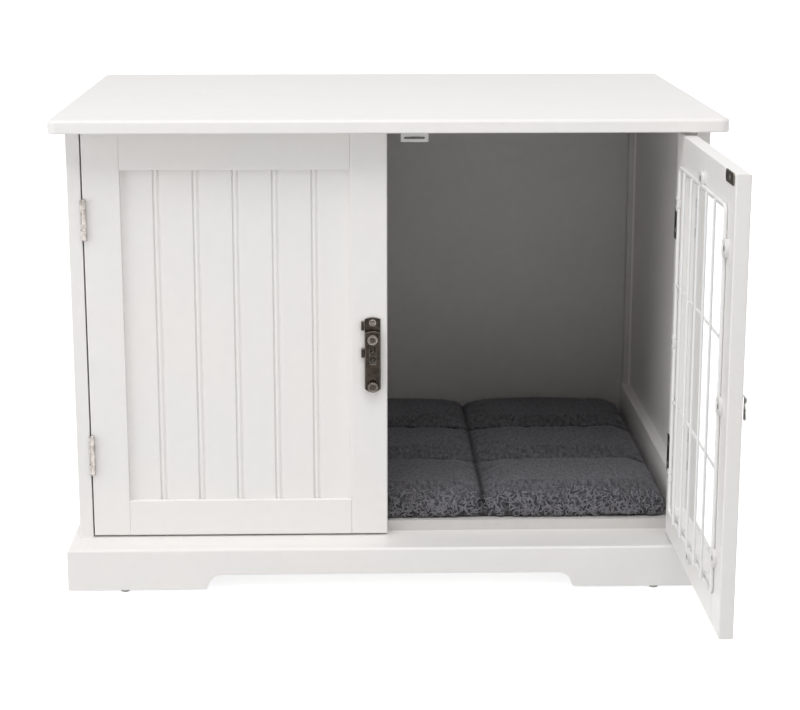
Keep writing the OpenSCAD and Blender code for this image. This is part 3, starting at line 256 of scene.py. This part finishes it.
def metal(name, base, dark, rough, wear_and_highlight=None, edge=0.0006, grain=0.0011, foot=None):
    """Plated or burnished metal: patches of tone, fine grain, edges brighter by wear and by a painted
    highlight, and darker towards the bottom where foot is given.
    """
    made = Finish(name, Metallic=1.0)
    tone = made.mix(made.remap(made.noise(size=0.006, detail=4.0), *PATCH_FADE), dark, base)
    # Brighter edges: partly wear, partly a painted highlight
    if wear_and_highlight:
        tone = made.mix(made.edge_share(edge), tone, wear_and_highlight)
    if foot:
        # Darker towards the bottom, below the heights in foot
        tone = made.mix(made.remap(made.axes()[2], *foot, 1.0, 0.0), tone, dark)
    made.colour(tone)
    made.rough(made.vary(rough - 0.07, rough + 0.1, size=0.0025, detail=4.0))
    height = made.noise(size=grain, detail=3.0)
    made.normal(made.bump(height, distance=0.00004, strength=0.5, normal=made.rounding(edge)))
    return made.material


def plastic(name, base, shade, rough, grain, depth):
    """Moulded plastic with a fine eroded texture."""
    made = Finish(name)
    made.colour(made.mix(made.remap(made.noise(size=0.01, detail=3.0), *SOFT_FADE), base, shade))
    made.rough(made.vary(rough - 0.06, rough + 0.08, size=0.004, detail=3.0))
    height = made.noise(size=grain, detail=2.0)
    made.normal(made.bump(height, distance=depth, strength=0.6, normal=made.rounding(PLASTIC_EDGE)))
    return made.material


def wood(name):
    """Turned beech with its flecks along the piece."""
    made = Finish(name)
    grain = made.noise(size=0.002, detail=5.0, stretch=(1.0, 1.0, 0.12))
    made.colour(made.mix(made.remap(grain, *SOFT_FADE), rgb(0.55, 0.36, 0.2), rgb(0.68, 0.49, 0.31)))
    made.rough(made.remap(grain, *WIDE_FADE, 0.55, 0.7))
    made.normal(made.bump(grain, distance=0.0002, strength=0.4))
    return made.material


def seam_share(made, lines):
    """The share of the pile's own tone: SEAM_SHARE in the fleece's sewn lines, 1 away from them."""
    wander = made.vary(-SEAM_WANDER, SEAM_WANDER, size=0.03, detail=2.0)
    place = made.axes()
    gaps = []
    for axis, across in enumerate(lines):
        for line in across:
            offset = made.math("ADD", made.math("SUBTRACT", place[axis], line), wander)
            gaps.append(made.math("ABSOLUTE", offset))
    nearest = gaps[0]
    for gap in gaps[1:]:
        nearest = made.math("MINIMUM", nearest, gap)
    return made.remap(nearest, *SEAM_FADE, SEAM_SHARE, 1.0)


def fleece(lines):
    """Curly fleece: painted shade between the curls and in the sewn lines, painted highlight on the curls'
    crests, with a soft sheen.
    """
    made = Finish("fleece_pile", Sheen_Weight=0.3, Sheen_Roughness=0.5, Sheen_Tint=rgb(0.72, 0.72, 0.78))
    made.set(made.shader.inputs["Specular IOR Level"], 0.2)
    # The attribute from the meshes: painted highlight on the yarns' crests and painted shade between them,
    # under them and in the seams, over the pile's own tone
    curl_light_and_tone = made.add("Attribute", attribute_name="curl_light_and_tone").outputs["Fac"]
    fibre = made.noise(size=0.0013, detail=3.0, rough=0.65, warp=0.8)
    strokes = made.noise(size=0.003, detail=2.0, rough=0.65, warp=0.5, stretch=(1.0, 0.33, 1.0))
    height = made.math("ADD", curl_light_and_tone, made.remap(fibre, *FIBRE_FADE, -FIBRE_DEPTH, FIBRE_DEPTH))
    height = made.math("ADD", height, made.remap(strokes, *STROKE_FADE, -STROKE_DEPTH, STROKE_DEPTH))
    tone = made.mix(made.remap(height, DARK_HEIGHT, 1.0), FLEECE_DARK, FLEECE_PALE)
    blush = made.remap(made.noise(size=0.06, detail=2.0), *BLUSH_FADE)
    tone = made.mix(made.math("MULTIPLY", blush, BLUSH_SHARE), tone, FLEECE_BLUSH)
    # Painted shade darkens the sewn lines, on the pad and on its yarns
    made.colour(made.mix(seam_share(made, lines), SEAM_PAINTED_SHADE, tone))
    made.rough(made.remap(fibre, *WIDE_FADE, 0.85, 1.0))
    made.normal(made.bump(fibre, distance=0.0006, strength=0.7))
    return made.material


finishes = {
    # The boards' lacquer, with painted shade on the walls inside the cabinet
    "white_lacquer": board_lacquer("white_lacquer_satin", thin_inside=True),
    # The beadboard's lacquer, with painted light along its grooves and edges
    "bead_lacquer": board_lacquer("bead_lacquer_satin", edge=0.0022, pooled=0.9),
    "batten_lacquer": board_lacquer("batten_lacquer_satin"),
    "white_wire": lacquer(
        "white_wire_coating",
        warm=rgb(0.87, 0.865, 0.86),
        cool=rgb(0.84, 0.84, 0.84),
        gloss=0.36,
        edge=0.0003,
    ),
    "clip_plastic": plastic(
        "clip_white_plastic",
        base=rgb(0.8, 0.79, 0.78),
        shade=rgb(0.74, 0.735, 0.725),
        rough=0.34,
        grain=0.0015,
        depth=0.00004,
    ),
    "catch_plastic": plastic(
        "catch_grey_plastic",
        base=rgb(0.76, 0.76, 0.75),
        shade=rgb(0.68, 0.68, 0.67),
        rough=0.4,
        grain=0.0012,
        depth=0.00005,
    ),
    "glide_plastic": plastic(
        "glide_grey_plastic",
        base=rgb(0.42, 0.42, 0.41),
        shade=rgb(0.34, 0.34, 0.33),
        rough=0.5,
        grain=0.0014,
        depth=0.00006,
    ),
    "dowel_wood": wood("dowel_beech"),
    "hinge_metal": metal(
        "hinge_nickel", base=rgb(0.62, 0.57, 0.54), dark=rgb(0.36, 0.33, 0.31), rough=0.22, grain=0.0006
    ),
    # The hinges' nickel darkened: painted shade for the right hinge's leaves inside the cabinet
    "hinge_dark": metal(
        "hinge_nickel_painted_shade",
        base=rgb(0.12, 0.108, 0.095),
        dark=rgb(0.05, 0.045, 0.04),
        rough=0.4,
        wear_and_highlight=rgb(0.32, 0.3, 0.27),
        edge=0.0005,
    ),
    "screw_steel": metal(
        "screw_steel",
        base=rgb(0.66, 0.64, 0.61),
        dark=rgb(0.4, 0.38, 0.36),
        rough=0.26,
        wear_and_highlight=rgb(0.85, 0.83, 0.8),
        edge=0.0003,
    ),
    "clip_screw": metal(
        "clip_screw_steel",
        base=rgb(0.25, 0.24, 0.23),
        dark=rgb(0.08, 0.076, 0.072),
        rough=0.36,
        wear_and_highlight=rgb(0.5, 0.49, 0.47),
        edge=0.0004,
    ),
    "strike_plate": metal(
        "strike_plate_bronze",
        base=rgb(0.21, 0.182, 0.155),
        dark=rgb(0.085, 0.073, 0.064),
        rough=0.4,
        wear_and_highlight=rgb(0.4, 0.36, 0.32),
    ),
    "strike_screw": metal(
        "strike_screw_bronze", base=rgb(0.62, 0.59, 0.56), dark=rgb(0.3, 0.28, 0.26), rough=0.36
    ),
    "spring_steel": metal(
        "spring_steel", base=rgb(0.6, 0.57, 0.53), dark=rgb(0.36, 0.34, 0.31), rough=0.24
    ),
    "latch_spring": metal(
        "latch_spring_dull", base=rgb(0.42, 0.37, 0.32), dark=rgb(0.16, 0.14, 0.12), rough=0.3
    ),
    "latch_bronze": metal(
        "latch_bronze",
        base=rgb(0.058, 0.046, 0.038),
        dark=rgb(0.026, 0.022, 0.019),
        rough=0.38,
        wear_and_highlight=rgb(0.42, 0.36, 0.3),
        edge=0.0007,
    ),
    "latch_screw": metal(
        "latch_screw_bronze",
        base=rgb(0.13, 0.11, 0.095),
        dark=rgb(0.06, 0.05, 0.045),
        rough=0.3,
        wear_and_highlight=rgb(0.8, 0.74, 0.68),
        edge=0.0007,
    ),
    "latch_bolt": metal(
        "latch_bolt_bronze",
        base=rgb(0.075, 0.062, 0.052),
        dark=rgb(0.03, 0.025, 0.022),
        rough=0.34,
        wear_and_highlight=rgb(0.7, 0.63, 0.55),
    ),
    "keeper": metal(
        "keeper_burnished",
        base=rgb(0.66, 0.65, 0.63),
        dark=rgb(0.2, 0.19, 0.175),
        rough=0.4,
        wear_and_highlight=rgb(0.72, 0.71, 0.69),
        # Darker towards its bottom
        foot=(0.2625, 0.2675),
    ),
    "magnet": metal("magnet_plate", base=rgb(0.3, 0.29, 0.28), dark=rgb(0.16, 0.155, 0.15), rough=0.35),
    # A dark sheet: painted shade for the slots in the catches
    "pole_plate": metal(
        "slot_painted_shade", base=rgb(0.13, 0.126, 0.122), dark=rgb(0.09, 0.087, 0.084), rough=0.5
    ),
}

# Nodes whose finish differs from the rest of their slot
OWN_FINISH = {
    "beadboard_panel": "bead_lacquer",
    "left_floor_batten": "batten_lacquer",
    "right_floor_batten": "batten_lacquer",
    "latch_base_screws": "latch_screw",
    "latch_pivot": "latch_screw",
    "latch_spring": "latch_spring",
    "latch_bolt": "latch_bolt",
    "left_strike_plate": "strike_plate",
    "right_strike_plate": "strike_plate",
    "left_strike_screw": "strike_screw",
    "right_strike_screw": "strike_screw",
    # The right hinge's leaves take the darkened nickel as painted shade
    "right_cabinet_leaves": "hinge_dark",
    "right_door_leaves": "hinge_dark",
    "latch_keeper": "keeper",
    "clip_screws": "clip_screw",
}


def dress(name, node):
    """Gives a CAD node its finish: its own, or that of its slot."""
    for held in node.material_slots:
        finish = OWN_FINISH.get(name, held.material.name.split(".")[0])
        held.material = finishes.get(finish, held.material)


for name, node in nodes.items():
    dress(name, node)


# Meshes


def coordinates(mesh):
    flat = np.empty(len(mesh.vertices) * 3)
    mesh.vertices.foreach_get("co", flat)
    return flat.reshape(-1, 3)


def set_coordinates(mesh, points):
    mesh.vertices.foreach_set("co", np.ascontiguousarray(points, dtype=np.float32).ravel())
    mesh.update()


def normals(mesh):
    flat = np.empty(len(mesh.vertices) * 3)
    mesh.vertices.foreach_get("normal", flat)
    return flat.reshape(-1, 3)


def hold_attribute(mesh, name, values):
    made = mesh.attributes.new(name, "FLOAT", "POINT")
    made.data.foreach_set("value", np.ascontiguousarray(values, dtype=np.float32))


def mesh_object(name, points, faces):
    """A new object with a mesh of its own, made from points and faces."""
    mesh = bpy.data.meshes.new(name)
    mesh.from_pydata(points, [], faces)
    return add_object(name, mesh)


def apply_modifiers(obj):
    """Bakes an object's modifiers into a mesh of its own."""
    graph = bpy.context.evaluated_depsgraph_get()
    mesh = bpy.data.meshes.new_from_object(obj.evaluated_get(graph), depsgraph=graph)
    old = obj.data
    obj.modifiers.clear()
    obj.data = mesh
    bpy.data.meshes.remove(old)


def subdivide(obj):
    """Halves the edges of a mesh once and rounds it."""
    finer = obj.modifiers.new("finer", "SUBSURF")
    finer.levels = finer.render_levels = 1
    finer.subdivision_type = "CATMULL_CLARK"
    apply_modifiers(obj)


def smooth_finish(obj, material):
    """Shades an object smooth and gives it one material."""
    for face in obj.data.polygons:
        face.use_smooth = True
    obj.data.materials.clear()
    obj.data.materials.append(material)


# Cushion: its cells each way, the even mesh, and how far the air may push it out
CELLS = 3
VOXEL = 0.005
PAD_INSET = 0.003
PUFF_LIMIT = 0.005

# What holds the cloth while it fills: the sewn lines and the floor
HELD_SEAM = 0.8 * VOXEL
HELD_FLOOR = 0.004
CLOTH_FRAMES = 20
CLOTH = {
    "quality": 5,
    "mass": 0.25,
    "tension_stiffness": 12,
    "compression_stiffness": 12,
    "shear_stiffness": 4,
    "bending_stiffness": 0.4,
    "use_pressure": True,
    "uniform_pressure_force": 4.0,
    "shrink_min": -0.02,
}

# The pile's faint waves over the pad, and the drawn-in seams
NAP_SIZE = 0.0075
NAP_HEIGHT = 0.0005
NAP_WAVES = 34
NAP_SPREAD = (0.8, 1.25)
NAP_STEEPNESS = 2.4
FLAT_BOTTOM = 0.0012
LIFT_FADE = 0.004
GROOVE_HALF = 0.0034
GROOVE_DEPTH = 0.0032
TOP_GAIN = 1.5
TOP_LEVEL = 0.4
TOP_ROOM = 0.002
EDGE_GAP = 0.0002

# How pale the pad is, from 0 to 1, what its waves take away, and the painted shade under its yarns and in
# its seams
PAD_TONE = 0.47
WAVE_TONE = 0.14
UNDER_YARN_PAINTED_SHADE = 0.24
GROOVE_PAINTED_SHADE = 0.4

# The curled yarns over the pad's front wall and the front of its top
YARNS = 1850
YARN_RINGS = 9
YARN_SIDES = 5
YARN_BAND = 0.0165
YARN_RADIUS = (0.0007, 0.0011)
YARN_LENGTH = (0.0065, 0.0135)
YARN_ARC = (0.0022, 0.0075)
YARN_HEIGHT = (0.0006, 0.0021)
YARN_SCATTER = 0.0013

# Where yarns start: the more a face looks forward the more of them, and on top the fewer the further back
WALL_POWER = 1.5
TOP_SHARE = 0.62
TOP_POWER = 0.7
LEAST_UP = -0.6

# How much less of each a yarn has at the back of the band
LESS_RADIUS = 0.3
LESS_LENGTH = 0.45
LESS_TURN = 0.55
LESS_HEIGHT = 0.6

# A yarn's shape: what its heading is turned from, how it arches, how far its middle rises and its ends sink
# as shares of its radius, and how thick its ends are and how much thicker its middle is
HEADING_FROM = (0.0, 0.3, 1.0)
ARCH_POWER = 0.6
ROUND_RISE = 0.35
ROOT_SINK = 0.25
END_RADIUS = 0.4
MORE_RADIUS = 0.6

# How pale a yarn is at its foot and flanks, which stay darker as painted shade, how much paler its crest is
# as painted highlight, how narrow that highlight is, and how yarns differ
FOOT_TONE = 0.16
CREST_PAINTED_HIGHLIGHT = 1.02
CREST_POWER = 1.3
TONE_SPREAD = (0.78, 1.15)

# Low down a yarn may reach out before the pad's front wall. Higher up it stays behind the closed door, and
# between the two heights the one turns into the other.
YARN_PROUD = 0.0026
DOOR_ROOM = 0.0014
DOOR_HEIGHTS = (0.080, 0.0845)

# The grille's clip that hangs before the pad once the door is closed
CLIP_X = 0.1688
CLIP_HALF = 0.0125
CLIP_FOOT = 0.069


def channel_lines(low, high):
    """The cushion's sewn lines between its cells, across and along."""
    return [[low[k] + (high[k] - low[k]) * i / CELLS for i in range(1, CELLS)] for k in (0, 1)]


def line_distance(points, lines):
    """Distance of each point from the nearest sewn line, across and along."""
    return [np.min(np.abs(points[:, k, None] - np.array(lines[k])[None, :]), axis=1) for k in (0, 1)]


def puff(obj, low, lines):
    """Fills the cells with air under the cloth solver, held at the seams and on the floor."""
    points = coordinates(obj.data)
    near = np.minimum(*line_distance(points, lines))
    held = (near < HELD_SEAM) | (points[:, 2] < low[2] + HELD_FLOOR)
    group = obj.vertex_groups.new(name="held")
    group.add([int(i) for i in np.nonzero(held)[0]], 1.0, "REPLACE")
    cloth = obj.modifiers.new("puff", "CLOTH")
    for setting, value in CLOTH.items():
        setattr(cloth.settings, setting, value)
    cloth.settings.effector_weights.gravity = 0.0
    cloth.settings.vertex_group_mass = "held"
    cloth.collision_settings.use_collision = False
    cloth.point_cache.frame_start = 1
    cloth.point_cache.frame_end = CLOTH_FRAMES
    for step in range(1, CLOTH_FRAMES + 1):
        bpy.context.scene.frame_set(step)
    graph = bpy.context.evaluated_depsgraph_get()
    after = coordinates(obj.evaluated_get(graph).to_mesh())
    obj.modifiers.clear()
    obj.vertex_groups.clear()
    bpy.context.scene.frame_set(1)
    move = after - points
    length = np.linalg.norm(move, axis=1, keepdims=True)
    capped = PUFF_LIMIT * np.tanh(length / PUFF_LIMIT) / np.maximum(length, TINY)
    set_coordinates(obj.data, points + move * capped)


def nap(u, v, size, rng):
    """A band of noise of one wavelength, whose crests wander like curled wool; from 0 to 1."""
    total = np.zeros_like(u)
    for _ in range(NAP_WAVES):
        angle, phase = rng.uniform(0, 2 * math.pi, 2)
        rate = 2 * math.pi / size * rng.uniform(*NAP_SPREAD)
        total += np.cos(rate * (math.cos(angle) * u + math.sin(angle) * v) + phase)
    total /= math.sqrt(NAP_WAVES / 2)
    return 1 / (1 + np.exp(-NAP_STEEPNESS * total))


def finish_pad(obj, low, high, lines):
    """Draws the seams in and gives the pile its faint waves."""
    points, outward = coordinates(obj.data), normals(obj.data)
    rng = np.random.default_rng(SEED)
    top = np.clip(outward[:, 2] * TOP_GAIN + TOP_LEVEL, 0, 1)
    seam = np.zeros(len(points))
    for distance in line_distance(points, lines):
        seam = np.maximum(seam, np.exp(-((distance / GROOVE_HALF) ** 2)))
    pile = nap(points[:, 0], points[:, 1] - points[:, 2], NAP_SIZE, rng)
    lift = np.clip((points[:, 2] - low[2] - FLAT_BOTTOM) / LIFT_FADE, 0, 1)
    points = points + outward * ((pile - 0.5) * NAP_HEIGHT * lift)[:, None]
    points[:, 2] -= seam * top * GROOVE_DEPTH
    points[:, 2] = np.clip(points[:, 2], low[2], high[2] + TOP_ROOM)
    for k in (0, 1):
        points[:, k] = np.clip(points[:, k], low[k] + EDGE_GAP, high[k] - EDGE_GAP)
    set_coordinates(obj.data, points)
    depth = points[:, 1] - points[:, 1].min()
    # Painted shade: the pad is darker under the yarns along its front
    under_yarn_shade = np.clip(1 - depth / YARN_BAND, 0, 1)
    # Painted shade also darkens the seams' grooves on top
    tone = PAD_TONE + WAVE_TONE * (pile - 0.5) - UNDER_YARN_PAINTED_SHADE * under_yarn_shade**2 - GROOVE_PAINTED_SHADE * seam * top
    hold_attribute(obj.data, "curl_light_and_tone", np.clip(tone, 0, 1))


def dress_fleece(obj, material):
    """The finish and the declarations that the pad and its yarns share."""
    smooth_finish(obj, material)
    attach(obj, "cabinet")


def fleece_pad(low, high, lines, material):
    """The quilted pad: the solid of the model, puffed between its seams."""
    obj = add_object("quilted_cushion", nodes["cushion"].data.copy())
    points = coordinates(obj.data)
    middle = (low + high) / 2
    half = (high - low) / 2
    scale = (half - PAD_INSET) / half
    scale[2] = 1.0
    set_coordinates(obj.data, middle + (points - middle) * scale)
    remesh = obj.modifiers.new("even", "REMESH")
    remesh.mode = "VOXEL"
    remesh.voxel_size = VOXEL
    apply_modifiers(obj)
    puff(obj, low, lines)
    subdivide(obj)
    finish_pad(obj, low, high, lines)
    dress_fleece(obj, material)
    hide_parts("cushion")
    return obj


def yarn_seeds(pad, low, rng):
    """Points of the pad's front wall and front edge, where yarns start, and how far back each lies."""
    points, outward = coordinates(pad.data), normals(pad.data)
    depth = points[:, 1] - points[:, 1].min()
    wall = np.clip(-outward[:, 1], 0, 1)
    share = np.maximum(wall**WALL_POWER, TOP_SHARE * np.clip(1 - depth / YARN_BAND, 0, 1) ** TOP_POWER)
    foot = points[:, 2] < low[2] + FLAT_BOTTOM
    share[foot | (depth > YARN_BAND) | (outward[:, 2] < LEAST_UP)] = 0.0
    chosen = rng.choice(len(points), YARNS, p=share / share.sum())
    return points[chosen], outward[chosen], depth[chosen] / YARN_BAND


def yarn_walk(tree, start, up, length, radius, heading, turn, height):
    """Steps over the pad along an arc and returns the yarn's middle line with the surface's directions."""
    up = Vector(up).normalized()
    side = up.cross(Vector(HEADING_FROM).normalized()).normalized()
    foot = Vector(start)
    line = []
    for k in range(YARN_RINGS):
        share = k / (YARN_RINGS - 1)
        arch = math.sin(math.pi * share)
        near, normal, _, _ = tree.find_nearest(foot)
        rise = height * arch**ARCH_POWER + radius * (ROUND_RISE * arch - ROOT_SINK)
        line.append((near + normal * rise, normal))
        side = (side - normal * side.dot(normal)).normalized()
        other = normal.cross(side)
        angle = heading + turn * share
        foot = near + (side * math.cos(angle) + other * math.sin(angle)) * (length / (YARN_RINGS - 1))
    return line


def yarn_lines(pad, low, rng):
    """The middle line of each yarn, the pad's directions along it, and its radius."""
    mesh = pad.data
    tree = BVHTree.FromPolygons([v.co for v in mesh.vertices], [tuple(p.vertices) for p in mesh.polygons])
    centres, ups, radii = [], [], []
    for start, up, back in zip(*yarn_seeds(pad, low, rng)):
        radius = rng.uniform(*YARN_RADIUS) * (1 - LESS_RADIUS * back)
        length = rng.uniform(*YARN_LENGTH) * (1 - LESS_LENGTH * back)
        turn = length / rng.uniform(*YARN_ARC) * rng.choice((-1.0, 1.0)) * (1 - LESS_TURN * back)
        heading = rng.uniform(0, 2 * math.pi)
        height = rng.uniform(*YARN_HEIGHT) * (1 - LESS_HEIGHT * back)
        start = start + rng.uniform(-YARN_SCATTER, YARN_SCATTER, 3)
        line = yarn_walk(tree, start, up, length, radius, heading, turn, height)
        centres.append([tuple(point) for point, _ in line])
        ups.append([tuple(normal) for _, normal in line])
        radii.append(radius)
    return np.array(centres), np.array(ups), np.array(radii)


def unit(vectors):
    return vectors / np.maximum(np.linalg.norm(vectors, axis=2, keepdims=True), TINY)


def yarn_tubes(centres, ups, radii, angles, arch):
    """The points of the yarns' tubes, by yarn, ring and side."""
    along = unit(np.gradient(centres, axis=1))
    aside = unit(np.cross(along, ups))
    outward = np.cross(aside, along)
    thick = radii[:, None] * (END_RADIUS + MORE_RADIUS * np.sqrt(arch))[None, :]
    spokes = (
        outward[:, :, None, :] * np.cos(angles)[None, None, :, None]
        + aside[:, :, None, :] * np.sin(angles)[None, None, :, None]
    )
    return centres[:, :, None, :] + spokes * thick[:, :, None, None]


def tube_faces(count):
    """The faces of count yarns, with closed ends."""
    faces = []
    for yarn in range(count):
        first = yarn * YARN_RINGS * YARN_SIDES
        for ring in range(YARN_RINGS - 1):
            here = first + ring * YARN_SIDES
            for k in range(YARN_SIDES):
                after = (k + 1) % YARN_SIDES
                faces.append((here + k, here + k + YARN_SIDES, here + after + YARN_SIDES, here + after))
        last = first + (YARN_RINGS - 1) * YARN_SIDES
        faces.append(tuple(first + k for k in range(YARN_SIDES)))
        faces.append(tuple(last + k for k in reversed(range(YARN_SIDES))))
    return faces


def front_limit(points, wall):
    """The furthest forward that a yarn may reach, clear of the closed door and the grille's clip."""
    x, z = points[..., 0], points[..., 2]
    limit = np.interp(z, DOOR_HEIGHTS, (wall - YARN_PROUD, wall + DOOR_ROOM))
    clip = (np.abs(x - CLIP_X) < CLIP_HALF) & (z > CLIP_FOOT)
    return np.where(clip, np.maximum(limit, wall), limit)


def fleece_curls(pad, low, high, material):
    """Curled yarns over the pad's front wall and edge, each a closed tube whose ends go into the pad."""
    rng = np.random.default_rng(SEED + 1)
    centres, ups, radii = yarn_lines(pad, low, rng)
    arch = np.sin(np.pi * np.linspace(0, 1, YARN_RINGS))
    angles = 2 * np.pi * np.arange(YARN_SIDES) / YARN_SIDES
    points = yarn_tubes(centres, ups, radii, angles, arch)
    # Painted highlight along each yarn's crest, strongest in its middle; its flanks and ends stay darker as
    # painted shade
    crest_highlight = (0.5 + 0.5 * np.cos(angles)) ** CREST_POWER
    tone = FOOT_TONE + CREST_PAINTED_HIGHLIGHT * crest_highlight[None, None, :] * (arch**0.5)[None, :, None]
    tone = np.broadcast_to(tone, points.shape[:3]) * rng.uniform(*TONE_SPREAD, (len(radii), 1, 1))
    points[..., 1] = np.maximum(points[..., 1], front_limit(points, low[1]))
    points[..., 0] = np.clip(points[..., 0], low[0] + EDGE_GAP, high[0] - EDGE_GAP)
    points[..., 2] = np.clip(points[..., 2], low[2], high[2] + TOP_ROOM)
    obj = mesh_object("fleece_curls", points.reshape(-1, 3).tolist(), tube_faces(len(radii)))
    hold_attribute(obj.data, "curl_light_and_tone", np.clip(tone, 0, 1).ravel())
    dress_fleece(obj, material)


def cushion():
    """The pad and its yarns, in one fleece."""
    low, high = (np.array(corner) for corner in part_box("cushion"))
    lines = channel_lines(low, high)
    material = fleece(lines)
    fleece_curls(fleece_pad(low, high, lines, material), low, high, material)


cushion()


def coil_spring():
    """The latch's spring with a rounder wire."""
    obj = add_object("coil_spring", nodes["latch_spring"].data.copy())
    subdivide(obj)
    smooth_finish(obj, finishes["latch_spring"])
    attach(obj, "latch_swing")
    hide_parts("latch_spring")
    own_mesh(obj)


coil_spring()


# Catches: where the dark plates in their fronts, painted shade for the slots over their magnets, sit along
# the top, and the plates' size
CATCH_X = 0.0285
SHADE_PLATE_WIDTH = 0.023
SHADE_PLATE_HEIGHT = 0.0025
SHADE_PLATE_PROUD = 0.00015
SHADE_PLATE_BACK = 0.0003
END_POINTS = 8


def shade_plate_outline():
    """A bar with round ends around its middle, across and up."""
    radius = SHADE_PLATE_HEIGHT / 2
    outline = []
    for side in (1, -1):
        for k in range(END_POINTS):
            angle = math.pi * (k / (END_POINTS - 1) - 0.5)
            reach = SHADE_PLATE_WIDTH / 2 - radius + radius * math.cos(angle)
            outline.append((side * reach, side * radius * math.sin(angle)))
    return outline


def slot_shade_plates():
    """A dark flat plate with round ends over the magnet of each catch, a hair proud of the housing: painted
    shade where the catch has its slot.
    """
    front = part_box("catch_housings")[0][1]
    low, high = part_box("catch_magnets")
    middle = (low[2] + high[2]) / 2
    outline = shade_plate_outline()
    count = len(outline)
    points, faces = [], []
    for centre in (-CATCH_X, CATCH_X):
        first = len(points)
        for y in (front - SHADE_PLATE_PROUD, front + SHADE_PLATE_BACK):
            points += [(centre + x, y, middle + z) for x, z in outline]
        faces.append(tuple(first + k for k in range(count)))
        faces.append(tuple(first + count + k for k in reversed(range(count))))
        for k in range(count):
            after = (k + 1) % count
            faces.append((first + k, first + count + k, first + count + after, first + after))
    obj = mesh_object("slot_shade_plates", points, faces)
    obj.data.materials.append(finishes["pole_plate"])
    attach(obj, "cabinet")


slot_shade_plates()


# Light, floor and camera

# How strongly the white world lights the object
WORLD_LEVEL = 0.28

# The floor: its half width, its tone as a surface, and how bright it looks near the object and far from it
FLOOR_REACH = 14.0
FLOOR_TONE = (0.73, 0.75)
FLOOR_GRAIN = 40.0
FLOOR_GLOW = (0.82, 0.98)
GLOW_REACH = (0.9, 3.0)

# Each lamp's name, place, target, width and height, watts, and whether reflections show it
LAMPS = (
    ("front_box", (-0.3, -1.75, 2.55), (0.0, -0.15, 0.25), (2.8, 1.2), 36.0, True),
    ("top_box", (0.0, -0.75, 2.7), (0.0, -0.35, 0.3), (2.4, 0.7), 13.0, True),
    ("left_box", (-2.95, -1.5, 0.95), (0.0, -0.3, 0.3), (2.1, 2.1), 36.0, False),
    ("right_box", (1.9, -2.6, 1.5), (0.0, -0.2, 0.3), (1.2, 1.2), 8.0, False),
    ("back_box", (-1.9, 2.5, 1.1), (0.0, 0.25, 0.3), (1.4, 1.2), 24.0, False),
    ("side_box", (2.8, 1.5, 1.1), (0.3, 0.2, 0.3), (1.4, 1.2), 26.0, False),
)


def seen_share(tree):
    """1 for what the camera, a reflection or a glass ray sees, 0 for what lights the object."""
    path = tree.nodes.new("ShaderNodeLightPath")
    total = path.outputs["Is Camera Ray"]
    for name in ("Is Glossy Ray", "Is Transmission Ray"):
        either = tree.nodes.new("ShaderNodeMath")
        either.operation = "MAXIMUM"
        tree.links.new(total, either.inputs[0])
        tree.links.new(path.outputs[name], either.inputs[1])
        total = either.outputs[0]
    return total


def studio():
    """A white world that the camera sees at full strength and the object is lit by at WORLD_LEVEL."""
    world = bpy.data.worlds.new("studio_white")
    bpy.context.scene.world = world
    world.use_nodes = True
    tree = world.node_tree
    back = tree.nodes["Background"]
    back.inputs["Color"].default_value = WHITE
    level = tree.nodes.new("ShaderNodeMapRange")
    tree.links.new(seen_share(tree), level.inputs["Value"])
    level.inputs["To Min"].default_value = WORLD_LEVEL
    level.inputs["To Max"].default_value = 1.0
    tree.links.new(level.outputs[0], back.inputs["Strength"])


def floor_finish():
    """A pale floor that keeps shadows and glows for the camera, more so far from the object."""
    made = Finish("studio_floor_white", Roughness=0.9, Emission_Color=WHITE)
    made.set(made.shader.inputs["Specular IOR Level"], 0.1)
    grain = made.add("TexNoise", {"Scale": FLOOR_GRAIN}).outputs["Fac"]
    made.colour(made.remap(grain, 0.0, 1.0, *FLOOR_TONE))
    apart = made.add("VectorMath", {0: made.place}, operation="LENGTH").outputs["Value"]
    span = dict(zip(("From Min", "From Max", "To Min", "To Max"), GLOW_REACH + FLOOR_GLOW))
    level = made.add("MapRange", {"Value": apart, **span}, interpolation_type="SMOOTHSTEP").outputs[0]
    glow = made.math("MULTIPLY", seen_share(made.tree), level)
    made.set(made.shader.inputs["Emission Strength"], glow)
    return made.material


def floor():
    """The floor under the object, which isn't part of it."""
    corners = [(x * FLOOR_REACH, y * FLOOR_REACH, 0) for x, y in ((-1, -1), (1, -1), (1, 1), (-1, 1))]
    obj = mesh_object("studio_floor", corners, [(0, 1, 2, 3)])
    obj.data.materials.append(floor_finish())


def lamp(name, at, target, size, watts, mirrored):
    """A soft box at one place, turned to another."""
    data = bpy.data.lights.new(name, "AREA")
    data.shape = "RECTANGLE"
    data.size, data.size_y = size
    data.energy = watts
    obj = add_object(name, data)
    obj.location = at
    obj.rotation_euler = (Vector(target) - Vector(at)).to_track_quat("-Z", "Y").to_euler()
    obj.visible_glossy = mirrored


def camera():
    """The photograph's view."""
    data = bpy.data.cameras.new("photo_view")
    data.lens = LENS_MM
    data.sensor_width = SENSOR_MM
    data.sensor_fit = "HORIZONTAL"
    data.clip_end = CAMERA_REACH
    obj = add_object("photo_view", data)
    obj.location = CAMERA_AT
    obj.rotation_euler = (math.radians(90 - CAMERA_DOWN), 0.0, -math.radians(CAMERA_RIGHT))
    bpy.context.scene.camera = obj


studio()
floor()
for row in LAMPS:
    lamp(*row)
camera()
bpy.context.scene.view_settings.view_transform = "Standard"
